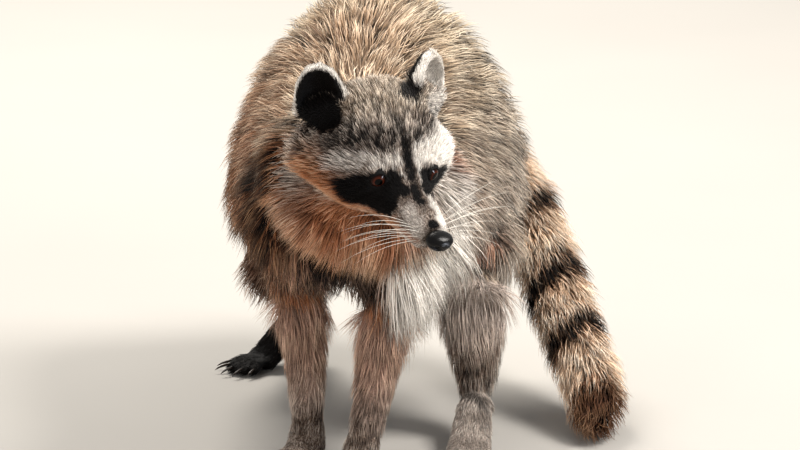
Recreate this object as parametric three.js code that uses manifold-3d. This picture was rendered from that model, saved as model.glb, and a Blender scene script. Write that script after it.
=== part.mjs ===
// A raccoon, life size, walking slowly and looking to its left. Millimetres, +Z up.
// The animal faces -Y, its own left side is +X, and it stands on the plane Z = 0.
// Every solid reaches out to the tips of the coat. Neighbours meet with a thin gap.
import * as THREE from 'three';
import { LoftGeometry } from 'three/addons/geometries/LoftGeometry.js';
import { mergeVertices } from 'three/addons/utils/BufferGeometryUtils.js';
import Module from 'manifold-3d';

const wasm = await Module();
wasm.setup();

// ---------------------------------------------------------------- driving dimensions

const GAP = 0.35; // between two pieces that touch
const FLOOR_FLAT = 1.2; // how much of a sole is pressed flat

const EYE_LINE = new THREE.Vector3(66, -58, 254); // midpoint between the fronts of the two eyes
const HEAD_TURN = 42; // degrees to the animal's left
const HEAD_DIP = 24; // degrees, nose down
const HEAD_TILT = 3; // degrees, left side down

const EYE_RADIUS = 8.2;
const EYE_SPACING = 45; // centre to centre
const EYE_SET = 7.7; // how far the centres lie behind the eye line
const EYE_DROP = 1.5; // and below it
const EYE_SPLAY = 20; // degrees that each eye looks outwards
const LID_OPENING = { wide: 8, high: 7, deep: 11, ahead: 6 };

const NOSE = { wide: 10.5, deep: 9, high: 8.6, y: -57, z: -17 };
const NOSTRIL = { x: 4.6, radius: 2.3 };

const EAR = { height: 52, wide: 20.5, deep: 12, wall: 4.2, out: 45, back: 60, up: 11 };
const EAR_LEAN = { left: 7, right: 19 }; // degrees outwards
const EAR_OPEN = { left: 24, right: 32 }; // degrees that the mouth of the ear faces outwards
const EAR_BACK = { left: 15, right: 5 }; // degrees that the tip lies back

const CLAW = { length: 10, radius: 1.5, drop: 3.6 };

// Joints of the four legs. `turn` is the way the paw points: degrees to the animal's left.
const FORELEG = {
  left: { shoulder: [40, 22, 205], elbow: [31, 52, 128], wrist: [21, 20, 33], paw: [17, 0], turn: 4 },
  right: { shoulder: [-42, 40, 205], elbow: [-45, 84, 130], wrist: [-33, 56, 33], paw: [-31, 37], turn: -6 },
};
const HINDLEG = {
  left: { hip: [52, 222, 166], knee: [80, 150, 124], hock: [90, 124, 36], paw: [95, 54], turn: 6 },
  right: { hip: [-70, 248, 170], knee: [-97, 220, 114], hock: [-80, 304, 50], paw: [-108, 276], turn: -42 },
};

// Each row is a ring of a leg, at the start, middle and end of a length: half width, and half depths
// behind and before its middle.
const GIRTH = {
  upperFore: [[34, 46, 36], [32, 42, 32], [26, 33, 26]],
  lowerFore: [[25, 32, 24], [18, 21, 17], [13.5, 13.5, 12.5]],
  thigh: [[54, 66, 60], [50, 60, 56], [38, 46, 42]],
  shank: [[35, 42, 38], [24, 28, 24], [15.5, 16, 14]],
};

const FORE_TOES = { fan: [-38, -18, 0, 18, 38], reach: [19, 27, 30, 27, 19], root: 15, thick: 4.9 };
const HIND_TOES = { fan: [-24, -12, 0, 12, 24], reach: [17, 23, 25, 23, 17], root: 17, thick: 5.2 };

// ---------------------------------------------------------------- stations of the long forms

// One ring of a loft: its centre, its half width, and its half heights over and under the centre.
const ring = (x, y, z, wide, over, under = over) => ({ at: new THREE.Vector3(x, y, z), wide, over, under });

const TRUNK = [
  ring(2, 0, 200, 40, 56, 38),
  ring(1, 26, 194, 70, 88, 50),
  ring(-1, 74, 186, 92, 113, 55),
  ring(-3, 135, 179, 110, 139, 60),
  ring(-8, 200, 174, 123, 164, 57),
  ring(-10, 256, 173, 126, 168, 50),
  ring(-9, 304, 178, 105, 148, 42),
  ring(-6, 340, 186, 62, 104, 32),
];
const NECK = [
  ring(4, 62, 222, 76, 64, 70),
  ring(14, 34, 234, 82, 60, 74),
  ring(24, 8, 247, 82, 54, 72),
  ring(36, -16, 254, 64, 42, 60),
];
// In the head's own frame: the origin lies midway between the eyes.
const HEAD = [
  ring(0, 88, -8, 52, 42, 36),
  ring(0, 74, -8, 70, 52, 46),
  ring(0, 54, -9, 79, 54, 50),
  ring(0, 36, -10, 74, 48, 48),
  ring(0, 20, -12, 58, 38.5, 42),
  ring(0, 9, -13, 38, 29, 34),
  ring(0, 0, -14.5, 28, 20.5, 29),
  ring(0, -12, -16.5, 22.5, 18.5, 23.5),
  ring(0, -28, -18.5, 20, 16.5, 19.5),
  ring(0, -43, -20, 17.5, 14.5, 15),
  ring(0, -54, -21, 13, 10, 11),
];
const MOUTH = { hinge: [0, -8, -33], slope: 9, wide: 60, long: 60, tall: 40 };
const TAIL = [
  ring(-6, 316, 238, 24, 24, 24),
  ring(22, 338, 214, 28, 28, 28),
  ring(58, 338, 182, 29, 29, 29),
  ring(91, 317, 150, 30, 30, 30),
  ring(114, 283, 117, 31, 31, 31),
  ring(136, 243, 85, 31, 31, 31),
  ring(156, 202, 58, 30, 30, 30),
  ring(174, 166, 35, 29, 29, 30),
  ring(182, 134, 21, 24, 24, 24),
  ring(184, 108, 17, 17, 17, 19),
];
const TAIL_CUTS = [0.36, 0.66]; // shares of the way along the tail

const COLOURS = {
  grizzled: 0x83776a,
  pale: 0xb5a48c,
  facial: 0x6f655b,
  banded: 0x7a6650,
  dark: 0x2b2724,
  skin: 0x14120f,
  iris: 0x2a130a,
  claw: 0x3a332c,
};

// ---------------------------------------------------------------- tools

const finish = (colour, roughness = 0.95) =>
  new THREE.MeshStandardMaterial({ color: colour, roughness, metalness: 0 });

/** A closed solid for joining and cutting, from a geometry placed by a matrix. */
function solidOf(geometry, matrix = new THREE.Matrix4()) {
  const bare = new THREE.BufferGeometry()
    .setAttribute('position', geometry.getAttribute('position').clone())
    .setIndex(geometry.index)
    .applyMatrix4(matrix);
  const merged = mergeVertices(bare, 1e-3);
  return new wasm.Manifold(new wasm.Mesh({
    numProp: 3,
    vertProperties: merged.attributes.position.array,
    triVerts: merged.index.array,
  }));
}

/** The largest body of a solid, as a geometry: slivers left by a cut are dropped. */
function geometryOf(solid) {
  const body = solid.decompose().reduce((a, b) => (a.volume() > b.volume() ? a : b));
  const mesh = body.getMesh();
  return new THREE.BufferGeometry()
    .setAttribute('position', new THREE.BufferAttribute(mesh.vertProperties, 3))
    .setIndex(new THREE.BufferAttribute(mesh.triVerts, 1));
}

/** A named mesh at the origin of its group. */
function meshOf(name, geometry, material) {
  const mesh = new THREE.Mesh(geometry, material);
  mesh.name = name;
  return mesh;
}

/**
 * Egg-shaped rings threaded on a smooth curve through the stations, with rounded ends.
 * `round` is the share of the way that each end takes to close, and `peak` narrows the rings' tops.
 * `side` points to the right hand of one who walks along the curve, so that a ring's top is up.
 */
function loft(stations, { around = 20, along = 14, grow = 0, side = [1, 0, 0], round = 0.12, peak = 0 } = {}) {
  const path = new THREE.CatmullRomCurve3(stations.map((s) => s.at));
  const girth = new THREE.CatmullRomCurve3(stations.map((s) => new THREE.Vector3(s.wide, s.over, s.under)));
  const reference = new THREE.Vector3(...side);
  const sections = [];
  for (let i = 0; i <= along; i++) {
    const even = i / along;
    const t = even - (0.55 * Math.sin(2 * Math.PI * even)) / (2 * Math.PI);
    const fromEnd = Math.min(t, 1 - t) / round;
    const cap = fromEnd < 1 ? Math.max(0.3, Math.sqrt(1 - (1 - fromEnd) ** 2)) : 1;
    const centre = path.getPoint(t);
    const ahead = path.getTangent(t);
    const across = reference.clone().addScaledVector(ahead, -reference.dot(ahead)).normalize();
    const upwards = new THREE.Vector3().crossVectors(across, ahead);
    const size = girth.getPoint(t).multiplyScalar(cap).addScalar(grow);
    const points = [];
    for (let k = 0; k < around; k++) {
      const angle = (-2 * Math.PI * k) / around;
      const rise = Math.sin(angle);
      const pinch = rise > 0 ? 1 - peak * rise * rise : 1;
      points.push(centre.clone()
        .addScaledVector(across, Math.cos(angle) * size.x * pinch)
        .addScaledVector(upwards, rise * (rise > 0 ? size.y : size.z)));
    }
    sections.push(points);
  }
  return new LoftGeometry(sections, { capStart: true, capEnd: true });
}

/** An ellipsoid given by its half axes. */
const ellipsoid = (x, y, z, around = 16, down = 12) =>
  new THREE.SphereGeometry(1, around, down).scale(x, y, z);

const placed = (x, y, z) => new THREE.Matrix4().makeTranslation(x, y, z);

// Pieces laid so far, each swollen by the gap, in the body's frame.
const taken = [];

/** Cuts a solid, whose frame `matrix` places in the body, clear of every piece laid so far. */
function clearOf(solid, matrix = new THREE.Matrix4()) {
  const fromBody = matrix.clone().invert().elements;
  return taken.reduce((left, other) => left.subtract(other.transform(fromBody)), solid);
}

/** Adds a lofted piece to the body, cut clear of the pieces laid before it. */
function layLoft(name, stations, grain, material) {
  body.add(meshOf(name, geometryOf(clearOf(solidOf(loft(stations, grain)))), material));
  taken.push(solidOf(loft(stations, { ...grain, grow: GAP })));
}

/** Everything above the floor, as a solid that is pressed FLOOR_FLAT into each sole. */
const aboveFloor = (matrix = new THREE.Matrix4()) =>
  solidOf(new THREE.BoxGeometry(2000, 2000, 1000).translate(0, 0, 500), matrix);

/** The stations of one length of a leg between two joints, bulging towards `bow` at its middle. */
function lengthOf(from, to, girths, bow = [0, 0, 0]) {
  const start = new THREE.Vector3(...from);
  const end = new THREE.Vector3(...to);
  return girths.map(([wide, back, front], i) => {
    const share = i / (girths.length - 1);
    const at = start.clone().lerp(end, share).addScaledVector(new THREE.Vector3(...bow), 4 * share * (1 - share));
    return { at, wide, over: back, under: front };
  });
}

// ---------------------------------------------------------------- trunk, neck and tail

const raccoon = new THREE.Group();
const body = new THREE.Group();
raccoon.add(body);

const coat = finish(COLOURS.grizzled);
const banded = finish(COLOURS.banded);

const headGroup = new THREE.Group();
headGroup.position.copy(EYE_LINE);
headGroup.rotation.set(
  THREE.MathUtils.degToRad(HEAD_DIP),
  THREE.MathUtils.degToRad(HEAD_TILT),
  THREE.MathUtils.degToRad(HEAD_TURN),
  'ZXY',
);
body.add(headGroup);
headGroup.updateMatrixWorld(true);
const headMatrix = headGroup.matrixWorld.clone();

const TRUNK_GRAIN = { around: 20, along: 14, round: 0.1, peak: 0.12 };
const HEAD_GRAIN = { around: 20, along: 17, round: 0.07, peak: 0.08, side: [-1, 0, 0] };
const TAIL_GRAIN = { around: 12, along: 15, round: 0.09 };
const NECK_GRAIN = { around: 14, along: 5, round: 0.1, side: [-1, 0, 0] };

layLoft('trunk', TRUNK, TRUNK_GRAIN, coat);

/** The tail in three lengths, parted by thin flat cuts across it. */
function addTail() {
  const whole = clearOf(solidOf(loft(TAIL, TAIL_GRAIN))).intersect(aboveFloor());
  const path = new THREE.CatmullRomCurve3(TAIL.map((s) => s.at));
  const reach = 230;
  // All that lies past the cut at `share` of the way, towards the tip for way 1 and the root for -1.
  const beyond = (share, way) => {
    const ahead = path.getTangent(share).multiplyScalar(way);
    const turn = new THREE.Quaternion().setFromUnitVectors(new THREE.Vector3(0, 0, 1), ahead);
    const centre = path.getPoint(share).addScaledVector(ahead, reach / 2 - GAP / 2);
    return solidOf(
      new THREE.BoxGeometry(reach * 2, reach * 2, reach),
      new THREE.Matrix4().compose(centre, turn, new THREE.Vector3(1, 1, 1)),
    );
  };
  const [first, second] = TAIL_CUTS;
  const lengths = {
    tail_base: whole.subtract(beyond(first, 1)).subtract(beyond(second, 1)),
    tail_middle: whole.subtract(beyond(first, -1)).subtract(beyond(second, 1)),
    tail_tip: whole.subtract(beyond(second, -1)),
  };
  for (const [name, solid] of Object.entries(lengths)) body.add(meshOf(name, geometryOf(solid), banded));
  taken.push(solidOf(loft(TAIL, { ...TAIL_GRAIN, grow: GAP })));
}
addTail();

// ---------------------------------------------------------------- head

const SIDES = { left: 1, right: -1 };
const facial = finish(COLOURS.facial);

/** Where an eye sits, and the way that it looks, in the head's frame. */
function eyeMatrix(way) {
  const turn = new THREE.Quaternion().setFromAxisAngle(
    new THREE.Vector3(0, 0, 1), way * THREE.MathUtils.degToRad(EYE_SPLAY),
  );
  return new THREE.Matrix4().compose(
    new THREE.Vector3((way * EYE_SPACING) / 2, EYE_SET, -EYE_DROP), turn, new THREE.Vector3(1, 1, 1),
  );
}

/** The hollow that an eye sits in: the ball's own seat and the gap between the lids. */
function eyeSocket(way) {
  const room = EYE_RADIUS + GAP;
  const seat = solidOf(ellipsoid(room, room, room, 10, 8), eyeMatrix(way));
  const opening = solidOf(
    ellipsoid(LID_OPENING.wide, LID_OPENING.deep, LID_OPENING.high, 10, 7).translate(0, -LID_OPENING.ahead, 0),
    eyeMatrix(way),
  );
  return seat.add(opening);
}

/** The nose pad with its two nostrils. */
function nosePad(grow = 0) {
  const pad = solidOf(
    ellipsoid(NOSE.wide + grow, NOSE.deep + grow, NOSE.high + grow, 10, 7),
    placed(0, NOSE.y, NOSE.z),
  );
  if (grow) return pad;
  const nostril = (way) => solidOf(
    ellipsoid(NOSTRIL.radius, 4, NOSTRIL.radius * 0.8, 6, 4),
    placed(way * NOSTRIL.x, NOSE.y - NOSE.deep + 0.5, NOSE.z - 0.5),
  );
  return pad.subtract(nostril(1)).subtract(nostril(-1));
}

/** A cupped ear with its mouth towards -Y, standing on the origin of its own group. */
function earShell() {
  const half = EAR.height / 2;
  const outer = solidOf(ellipsoid(EAR.wide, EAR.deep, half + 7, 11, 8), placed(0, 0, half - 7));
  const inner = solidOf(
    ellipsoid(EAR.wide - EAR.wall, EAR.deep, half + 4, 11, 8),
    placed(0, -EAR.wall - 3, half - 7.5),
  );
  return outer.subtract(inner);
}

/** The block under the line of the mouth that parts the lower jaw from the head. */
function jawBlock(grow = 0) {
  return solidOf(
    new THREE.BoxGeometry(MOUTH.wide, MOUTH.long, MOUTH.tall)
      .translate(0, grow - MOUTH.long / 2, grow - MOUTH.tall / 2),
    placed(...MOUTH.hinge).multiply(new THREE.Matrix4().makeRotationX(-THREE.MathUtils.degToRad(MOUTH.slope))),
  );
}

/** The head, its lower jaw, the nose and the two eyes. */
function addSkull() {
  const whole = clearOf(solidOf(loft(HEAD, HEAD_GRAIN)), headMatrix).subtract(nosePad(GAP));
  const skull = whole.subtract(jawBlock(GAP)).subtract(eyeSocket(1)).subtract(eyeSocket(-1));
  headGroup.add(meshOf('head', geometryOf(skull), facial));
  headGroup.add(meshOf('lower_jaw', geometryOf(whole.intersect(jawBlock())), finish(COLOURS.pale)));
  headGroup.add(meshOf('nose', geometryOf(nosePad()), finish(COLOURS.skin, 0.35)));
  taken.push(solidOf(loft(HEAD, { ...HEAD_GRAIN, grow: GAP }), headMatrix));

  const iris = finish(COLOURS.iris, 0.08);
  for (const [side, way] of Object.entries(SIDES)) {
    const eye = meshOf(`eye_${side}`, ellipsoid(EYE_RADIUS, EYE_RADIUS, EYE_RADIUS, 10, 8), iris);
    eye.applyMatrix4(eyeMatrix(way));
    headGroup.add(eye);
  }
}

/** The two ears, set on the corners of the head and cut clear of it and of the neck. */
function addEars() {
  for (const [side, way] of Object.entries(SIDES)) {
    const earGroup = new THREE.Group();
    earGroup.position.set(way * EAR.out, EAR.back, EAR.up);
    const turns = [-EAR_BACK[side], way * EAR_LEAN[side], way * EAR_OPEN[side]];
    earGroup.rotation.set(...turns.map(THREE.MathUtils.degToRad), 'ZXY');
    headGroup.add(earGroup);
    earGroup.updateWorldMatrix(true, false);
    const shell = clearOf(earShell(), earGroup.matrixWorld);
    earGroup.add(meshOf(`ear_${side}`, geometryOf(shell), facial));
  }
}

addSkull();
layLoft('neck', NECK, NECK_GRAIN, coat);
addEars();

// ---------------------------------------------------------------- legs and paws

const legCoat = finish(COLOURS.grizzled);
const pawCoat = finish(COLOURS.dark);
const clawHorn = finish(COLOURS.claw, 0.5);
const LEG_GRAIN = { around: 10, along: 6, round: 0.14 };
const PALM_GRAIN = { around: 10, along: 4, round: 0.2, side: [-1, 0, 0] };
const TOE_GRAIN = { around: 5, along: 3, round: 0.25 };
const CLAW_GRAIN = { around: 5, along: 3, round: 0.05 };

/** One claw, rooted at its own origin and curving down towards -Y. */
function clawGeometry(grow = 0) {
  const stations = [0.35, 0, -0.45, -1].map((way, i) => {
    const thick = CLAW.radius * [1, 1, 0.8, 0.25][i];
    const sag = way < 0 ? CLAW.drop * way * way : 0;
    return ring(0, CLAW.length * way, -sag, thick * 0.75, thick, thick);
  });
  return loft(stations, { ...CLAW_GRAIN, grow });
}

/** The toes of a paw: where each is rooted, which way it points and where its claw grows. */
function toesOf({ fan, reach, root, thick }, knuckleY) {
  return fan.map((degrees, i) => {
    const angle = THREE.MathUtils.degToRad(degrees);
    const way = new THREE.Vector3(Math.sin(angle), -Math.cos(angle), 0);
    const start = new THREE.Vector3(root * Math.sin(angle * 1.5), knuckleY + root * (1 - Math.cos(angle)), 0);
    const point = (share, z) => start.clone().addScaledVector(way, reach[i] * share).setZ(z);
    const along = [[-0.3, 10, 1], [0.3, 10, 0.95], [0.75, 6, 1], [1, 4.2, 0.8]];
    const stations = along.map(([share, z, size]) => ({
      at: point(share, z), wide: thick * size, over: thick * size, under: thick * size,
    }));
    const claw = new THREE.Matrix4().compose(
      point(0.97, 6.6), new THREE.Quaternion().setFromAxisAngle(new THREE.Vector3(0, 0, 1), angle),
      new THREE.Vector3(1, 1, 1),
    );
    return { stations, claw };
  });
}

/** A paw in its own group: palm or sole, toes and claws, cut to clear the leg above it. */
function addPaw(name, { paw: [x, y], turn }, palm, toes, knuckleY) {
  const group = new THREE.Group();
  group.position.set(x, y, 0);
  group.rotation.z = THREE.MathUtils.degToRad(turn);
  body.add(group);
  group.updateMatrix();

  const sunk = placed(0, 0, -FLOOR_FLAT);
  let solid = solidOf(loft(palm, PALM_GRAIN), sunk);
  const fan = toesOf(toes, knuckleY);
  for (const { stations } of fan) {
    solid = solid.add(solidOf(loft(stations, TOE_GRAIN), sunk));
  }
  solid = clearOf(solid, group.matrix).intersect(aboveFloor());
  fan.forEach(({ claw }, i) => {
    solid = solid.subtract(solidOf(clawGeometry(GAP), claw));
    const horn = meshOf(`claw_${name}_${i + 1}`, clawGeometry(), clawHorn);
    horn.applyMatrix4(claw);
    group.add(horn);
  });
  group.add(meshOf(name, geometryOf(solid), pawCoat));
}

/** A point of the body, in the frame of a paw that stands at x, y and is turned by `turn` degrees. */
function inPawFrame([x, y, z], { paw, turn }) {
  return new THREE.Vector3(x - paw[0], y - paw[1], z)
    .applyAxisAngle(new THREE.Vector3(0, 0, 1), -THREE.MathUtils.degToRad(turn));
}

/** One foreleg from the shoulder down, with its paw. */
function addForeleg(side, leg) {
  const upper = lengthOf(leg.shoulder, leg.elbow, GIRTH.upperFore);
  const lower = lengthOf(leg.elbow, leg.wrist, GIRTH.lowerFore, [0, 3, 0]);
  layLoft(`upper_foreleg_${side}`, upper, LEG_GRAIN, legCoat);
  layLoft(`forearm_${side}`, lower, LEG_GRAIN, legCoat);

  const wrist = inPawFrame(leg.wrist, leg);
  const palm = [
    { at: wrist.clone().add(new THREE.Vector3(0, 4, 12)), wide: 12, over: 11, under: 11 },
    { at: wrist.clone().lerp(new THREE.Vector3(0, 4, 12), 0.5), wide: 14.5, over: 12, under: 11 },
    ring(0, 2, 11, 17, 11, 11),
    ring(0, -14, 9, 18.5, 8.5, 9.5),
    ring(0, -22, 8, 15, 6.5, 8),
  ];
  addPaw(`forepaw_${side}`, leg, palm, FORE_TOES, -19);
}

/** One hind leg from the hip down, with its paw. */
function addHindleg(side, leg) {
  const thigh = lengthOf(leg.hip, leg.knee, GIRTH.thigh);
  const shank = lengthOf(leg.knee, leg.hock, GIRTH.shank);
  layLoft(`thigh_${side}`, thigh, LEG_GRAIN, legCoat);
  layLoft(`shank_${side}`, shank, LEG_GRAIN, legCoat);

  const hock = inPawFrame(leg.hock, leg);
  const ball = new THREE.Vector3(0, -2, 10);
  const sole = [
    { at: hock.clone().add(new THREE.Vector3(0, 5, 2)), wide: 14, over: 13, under: 14 },
    { at: hock.clone().lerp(ball, 0.35), wide: 14.5, over: 13, under: 13 },
    { at: hock.clone().lerp(ball, 0.72), wide: 17, over: 12, under: 11 },
    { at: ball, wide: 20, over: 10, under: 10 },
    ring(0, -20, 8, 17, 7.5, 8),
  ];
  addPaw(`hindpaw_${side}`, leg, sole, HIND_TOES, -16);
}

for (const side of Object.keys(SIDES)) {
  addForeleg(side, FORELEG[side]);
  addHindleg(side, HINDLEG[side]);
}

// ---------------------------------------------------------------- the part's own frame

// The origin lies on the floor under the middle of the model's box.
raccoon.updateMatrixWorld(true);
const box = new THREE.Box3().setFromObject(raccoon, true);
body.position.set(-(box.min.x + box.max.x) / 2, -(box.min.y + box.max.y) / 2, -box.min.z);

export default raccoon;
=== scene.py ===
"""A life-size raccoon: one skin, a coat of tapered locks, eyes, nose, claws and whiskers."""
import logging
import math
from dataclasses import dataclass, field
from enum import Enum
from functools import cached_property

import bmesh
import bpy
import numpy as np
from bmesh.types import BMesh, BMVert
from bpy.types import ID, Material, Mesh, Node, NodeOutputs, NodeSocket, NodeTree, Object
from mathutils import Matrix, Vector, kdtree
from mathutils.bvhtree import BVHTree
from numpy import ndarray as Array


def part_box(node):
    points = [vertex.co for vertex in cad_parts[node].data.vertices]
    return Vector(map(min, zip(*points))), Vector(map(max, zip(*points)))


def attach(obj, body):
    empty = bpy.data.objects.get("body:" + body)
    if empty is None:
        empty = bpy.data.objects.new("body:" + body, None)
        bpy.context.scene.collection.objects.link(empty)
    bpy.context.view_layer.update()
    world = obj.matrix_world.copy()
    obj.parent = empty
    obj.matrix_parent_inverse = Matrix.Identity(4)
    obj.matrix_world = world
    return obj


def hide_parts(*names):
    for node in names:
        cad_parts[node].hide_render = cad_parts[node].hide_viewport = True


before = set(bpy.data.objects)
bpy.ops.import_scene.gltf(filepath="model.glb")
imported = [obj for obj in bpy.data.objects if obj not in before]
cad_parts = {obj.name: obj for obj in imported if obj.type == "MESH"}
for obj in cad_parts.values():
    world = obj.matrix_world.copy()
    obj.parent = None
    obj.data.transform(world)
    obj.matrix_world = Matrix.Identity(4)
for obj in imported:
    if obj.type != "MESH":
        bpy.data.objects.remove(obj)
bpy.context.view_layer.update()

LOG = logging.getLogger("raccoon")
Pair = tuple[float, float]
Triple = tuple[float, float, float]

MM = 0.001
ROOT = "root"
SEED = 20417
UV_NAME = "OFBake"

SIDES = {"left": 1.0, "right": -1.0}
TOES = 5
PAWS = ("forepaw", "hindpaw")
LEG_PARTS = ("upper_foreleg", "forearm", "forepaw", "thigh", "shank", "hindpaw")
LOW_PARTS = ("forearm", "forepaw", "shank", "hindpaw")
LEG_ABOVE = {"forepaw": "forearm", "hindpaw": "shank"}
LEG_BELOW = {"upper_foreleg": "forearm", "forearm": "forepaw", "thigh": "shank", "shank": "hindpaw"}
CORE_NODES = ["trunk", "neck", "head", "lower_jaw", "tail_base", "tail_middle", "tail_tip"] + [
    f"{part}_{side}" for side in SIDES for part in LEG_PARTS if "paw" not in part
]
PAW_NODES = [f"{part}_{side}" for side in SIDES for part in PAWS]
EAR_NODES = [f"ear_{side}" for side in SIDES]
FLESH_NODES = CORE_NODES + PAW_NODES + EAR_NODES

FACE_END = (40.0, 15.0)    # how far back in the head's frame, in mm, the face ends and begins
LOWER_LEG = (115.0, 60.0)  # the heights, in mm, between which a leg becomes its slim lower part


# ---- small tools on arrays

def unit(vectors: Array) -> Array:
    """Vectors scaled to a length of one."""
    return vectors / np.maximum(np.linalg.norm(vectors, axis=-1, keepdims=True), 1e-9)


def ease(low: float, high: float, value: Array) -> Array:
    """A smooth step from 0 to 1.

    Args:
        low: the value at which the step starts.
        high: the value at which it ends, which may be the lower of the two.
        value: the values to step.

    Returns:
        The steps, from 0 to 1.
    """
    share = np.clip((value - low) / (high - low), 0.0, 1.0)
    return share * share * (3.0 - 2.0 * share)


def linear(code: str) -> tuple[float, ...]:
    """A colour for a shader from its screen code.

    Args:
        code: six hexadecimal digits after a hash sign.

    Returns:
        The colour as linear red, green, blue and an alpha of one.
    """
    parts = [int(code[i:i + 2], 16) / 255 for i in (1, 3, 5)]
    return (*[c / 12.92 if c < 0.04045 else ((c + 0.055) / 1.055) ** 2.4 for c in parts], 1.0)


def ripple(points: Array, wavelength: float, seed: int, waves: int = 7) -> Array:
    """A smooth wandering value between about -1 and 1, from a few crossing waves.

    Args:
        points: places, in any one unit.
        wavelength: the usual distance from crest to crest, in that unit.
        seed: picks the waves.
        waves: how many waves cross.

    Returns:
        One value for each place.
    """
    random = np.random.default_rng(seed)
    ways = unit(random.normal(size=(waves, 3))) * random.uniform(0.6, 1.5, (waves, 1))
    phases = random.uniform(0, 2 * math.pi, waves)
    return np.sin(points @ ways.T * (2 * math.pi / wavelength) + phases).sum(1) / math.sqrt(waves)


def read(items: object, key: str, width: int, kind: type = np.float32) -> Array:
    """Reads one property of all the parts of a mesh.

    Args:
        items: the mesh's vertices, edges, loops or the like.
        key: the property's name.
        width: how many numbers it holds.
        kind: the kind of number.

    Returns:
        One row for each part.
    """
    flat = np.empty(len(items) * width, kind)
    items.foreach_get(key, flat)
    return flat.reshape(-1, width)


def add_layer(mesh: Mesh, name: str, values: Array) -> None:
    """Gives the vertices of a mesh an attribute.

    Args:
        mesh: the mesh.
        name: the attribute's name.
        values: one row for each vertex, of four shades or of three numbers.
    """
    kind, key = ("FLOAT_COLOR", "color") if values.shape[1] == 4 else ("FLOAT_VECTOR", "vector")
    mesh.attributes.new(name, kind, "POINT").data.foreach_set(key, values.astype(np.float32).ravel())


def nearest_of(places: Array, points: Array, chosen: Array) -> Array:
    """Finds the nearest of some chosen points.

    Args:
        places: where to look from.
        points: all the points.
        chosen: the indices of those to choose from.

    Returns:
        For each place, the index of its nearest point.
    """
    tree = kdtree.KDTree(len(chosen))
    for i in chosen:
        tree.insert(points[i], int(i))
    tree.balance()
    return np.array([tree.find(place)[1] for place in places], int)


def node_points(name: str) -> Array:
    """The vertices of a CAD node, in metres."""
    return read(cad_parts[name].data.vertices, "co", 3).astype(float)


def node_copy(name: str) -> BMesh:
    """Copies a CAD node's solid and merges its loose triangles.

    Args:
        name: the node.

    Returns:
        The copy, for the caller to free.
    """
    bm = bmesh.new()
    bm.from_mesh(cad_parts[name].data)
    bmesh.ops.remove_doubles(bm, verts=bm.verts, dist=1e-6)
    bm.normal_update()
    return bm


def claw_nodes(paw: str) -> list[str]:
    """The names of the CAD nodes of one paw's claws."""
    return [f"claw_{paw}_{toe}" for toe in range(1, TOES + 1)]


def region_of(node: str) -> str:
    """The name of the region that a CAD node belongs to."""
    return node.rsplit("_", 1)[0] if node.endswith(("_left", "_right")) else node


def join_nodes(into: BMesh, names: list[str], swell: float = 0.0) -> None:
    """Adds copies of CAD nodes to a bmesh, swollen or shrunk along their normals.

    Args:
        into: where they go.
        names: the nodes.
        swell: how far they grow, in mm, or shrink below zero.
    """
    for name in names:
        part = node_copy(name)
        for vert in part.verts:
            vert.co += vert.normal * swell * MM
        mesh = bpy.data.meshes.new("part")
        part.to_mesh(mesh)
        part.free()
        into.from_mesh(mesh)
        bpy.data.meshes.remove(mesh)


def points_near(name: str, other: str, reach: float) -> Array:
    """Finds the vertices of one CAD node that lie near another.

    Args:
        name: the node whose vertices are wanted.
        other: the node that they lie near.
        reach: how near, in mm.

    Returns:
        Those vertices, in metres.
    """
    solid = node_copy(other)
    tree = BVHTree.FromBMesh(solid)
    solid.free()
    points = node_points(name)
    away = np.array([tree.find_nearest(Vector(p))[3] for p in points])
    return points[away < reach * MM]


def add_hull(into: BMesh, points: Array) -> None:
    """Adds the convex solid round some points to a bmesh.

    Args:
        into: where it goes.
        points: the points, in metres.
    """
    made = [into.verts.new(p) for p in points]
    hull = bmesh.ops.convex_hull(into, input=made)
    spare = [v for v in hull["geom_interior"] if isinstance(v, BMVert)]
    bmesh.ops.delete(into, geom=spare, context="VERTS")


def nearest_nodes(places: Array, names: list[str]) -> Array:
    """Finds the CAD node that is nearest to each place.

    Args:
        places: the places, in metres.
        names: the nodes to choose from.

    Returns:
        For each place, the index of its node in `names`.
    """
    corners, faces, owner = [], [], []
    for index, name in enumerate(names):
        part = node_copy(name)
        faces += [[len(corners) + v.index for v in f.verts] for f in part.faces]
        corners += [v.co.copy() for v in part.verts]
        owner += [index] * len(part.faces)
        part.free()
    tree = BVHTree.FromPolygons(corners, faces)
    return np.array([owner[tree.find_nearest(Vector(p))[2]] for p in places])


def region_table(owner: Array, names: list[str]) -> dict[str, Array]:
    """Sorts places into the coat's regions.

    Args:
        owner: for each place, the index of its node.
        names: the nodes.

    Returns:
        For each region, 1 at the places that belong to it and 0 elsewhere.
    """
    table = {region: np.zeros(len(owner)) for region in PELTS}
    for index, name in enumerate(names):
        table[region_of(name)][owner == index] = 1.0
    return table


def add_object(name: str, data: ID) -> Object:
    """Puts a mesh, a light or a camera into the scene.

    Args:
        name: the new object's name.
        data: what it shows.

    Returns:
        The object.
    """
    obj = bpy.data.objects.new(name, data)
    bpy.context.scene.collection.objects.link(obj)
    return obj


def new_piece(name: str, bm: BMesh, material: Material) -> Object:
    """Makes a smooth piece that rides on the body.

    Args:
        name: the piece's name.
        bm: its shape. It is freed.
        material: its finish.

    Returns:
        The piece.
    """
    mesh = bpy.data.meshes.new(name)
    bm.to_mesh(mesh)
    bm.free()
    mesh.shade_smooth()
    mesh.materials.append(material)
    obj = add_object(name, mesh)
    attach(obj, ROOT)
    return obj


# ---- the animal's own frames

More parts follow.
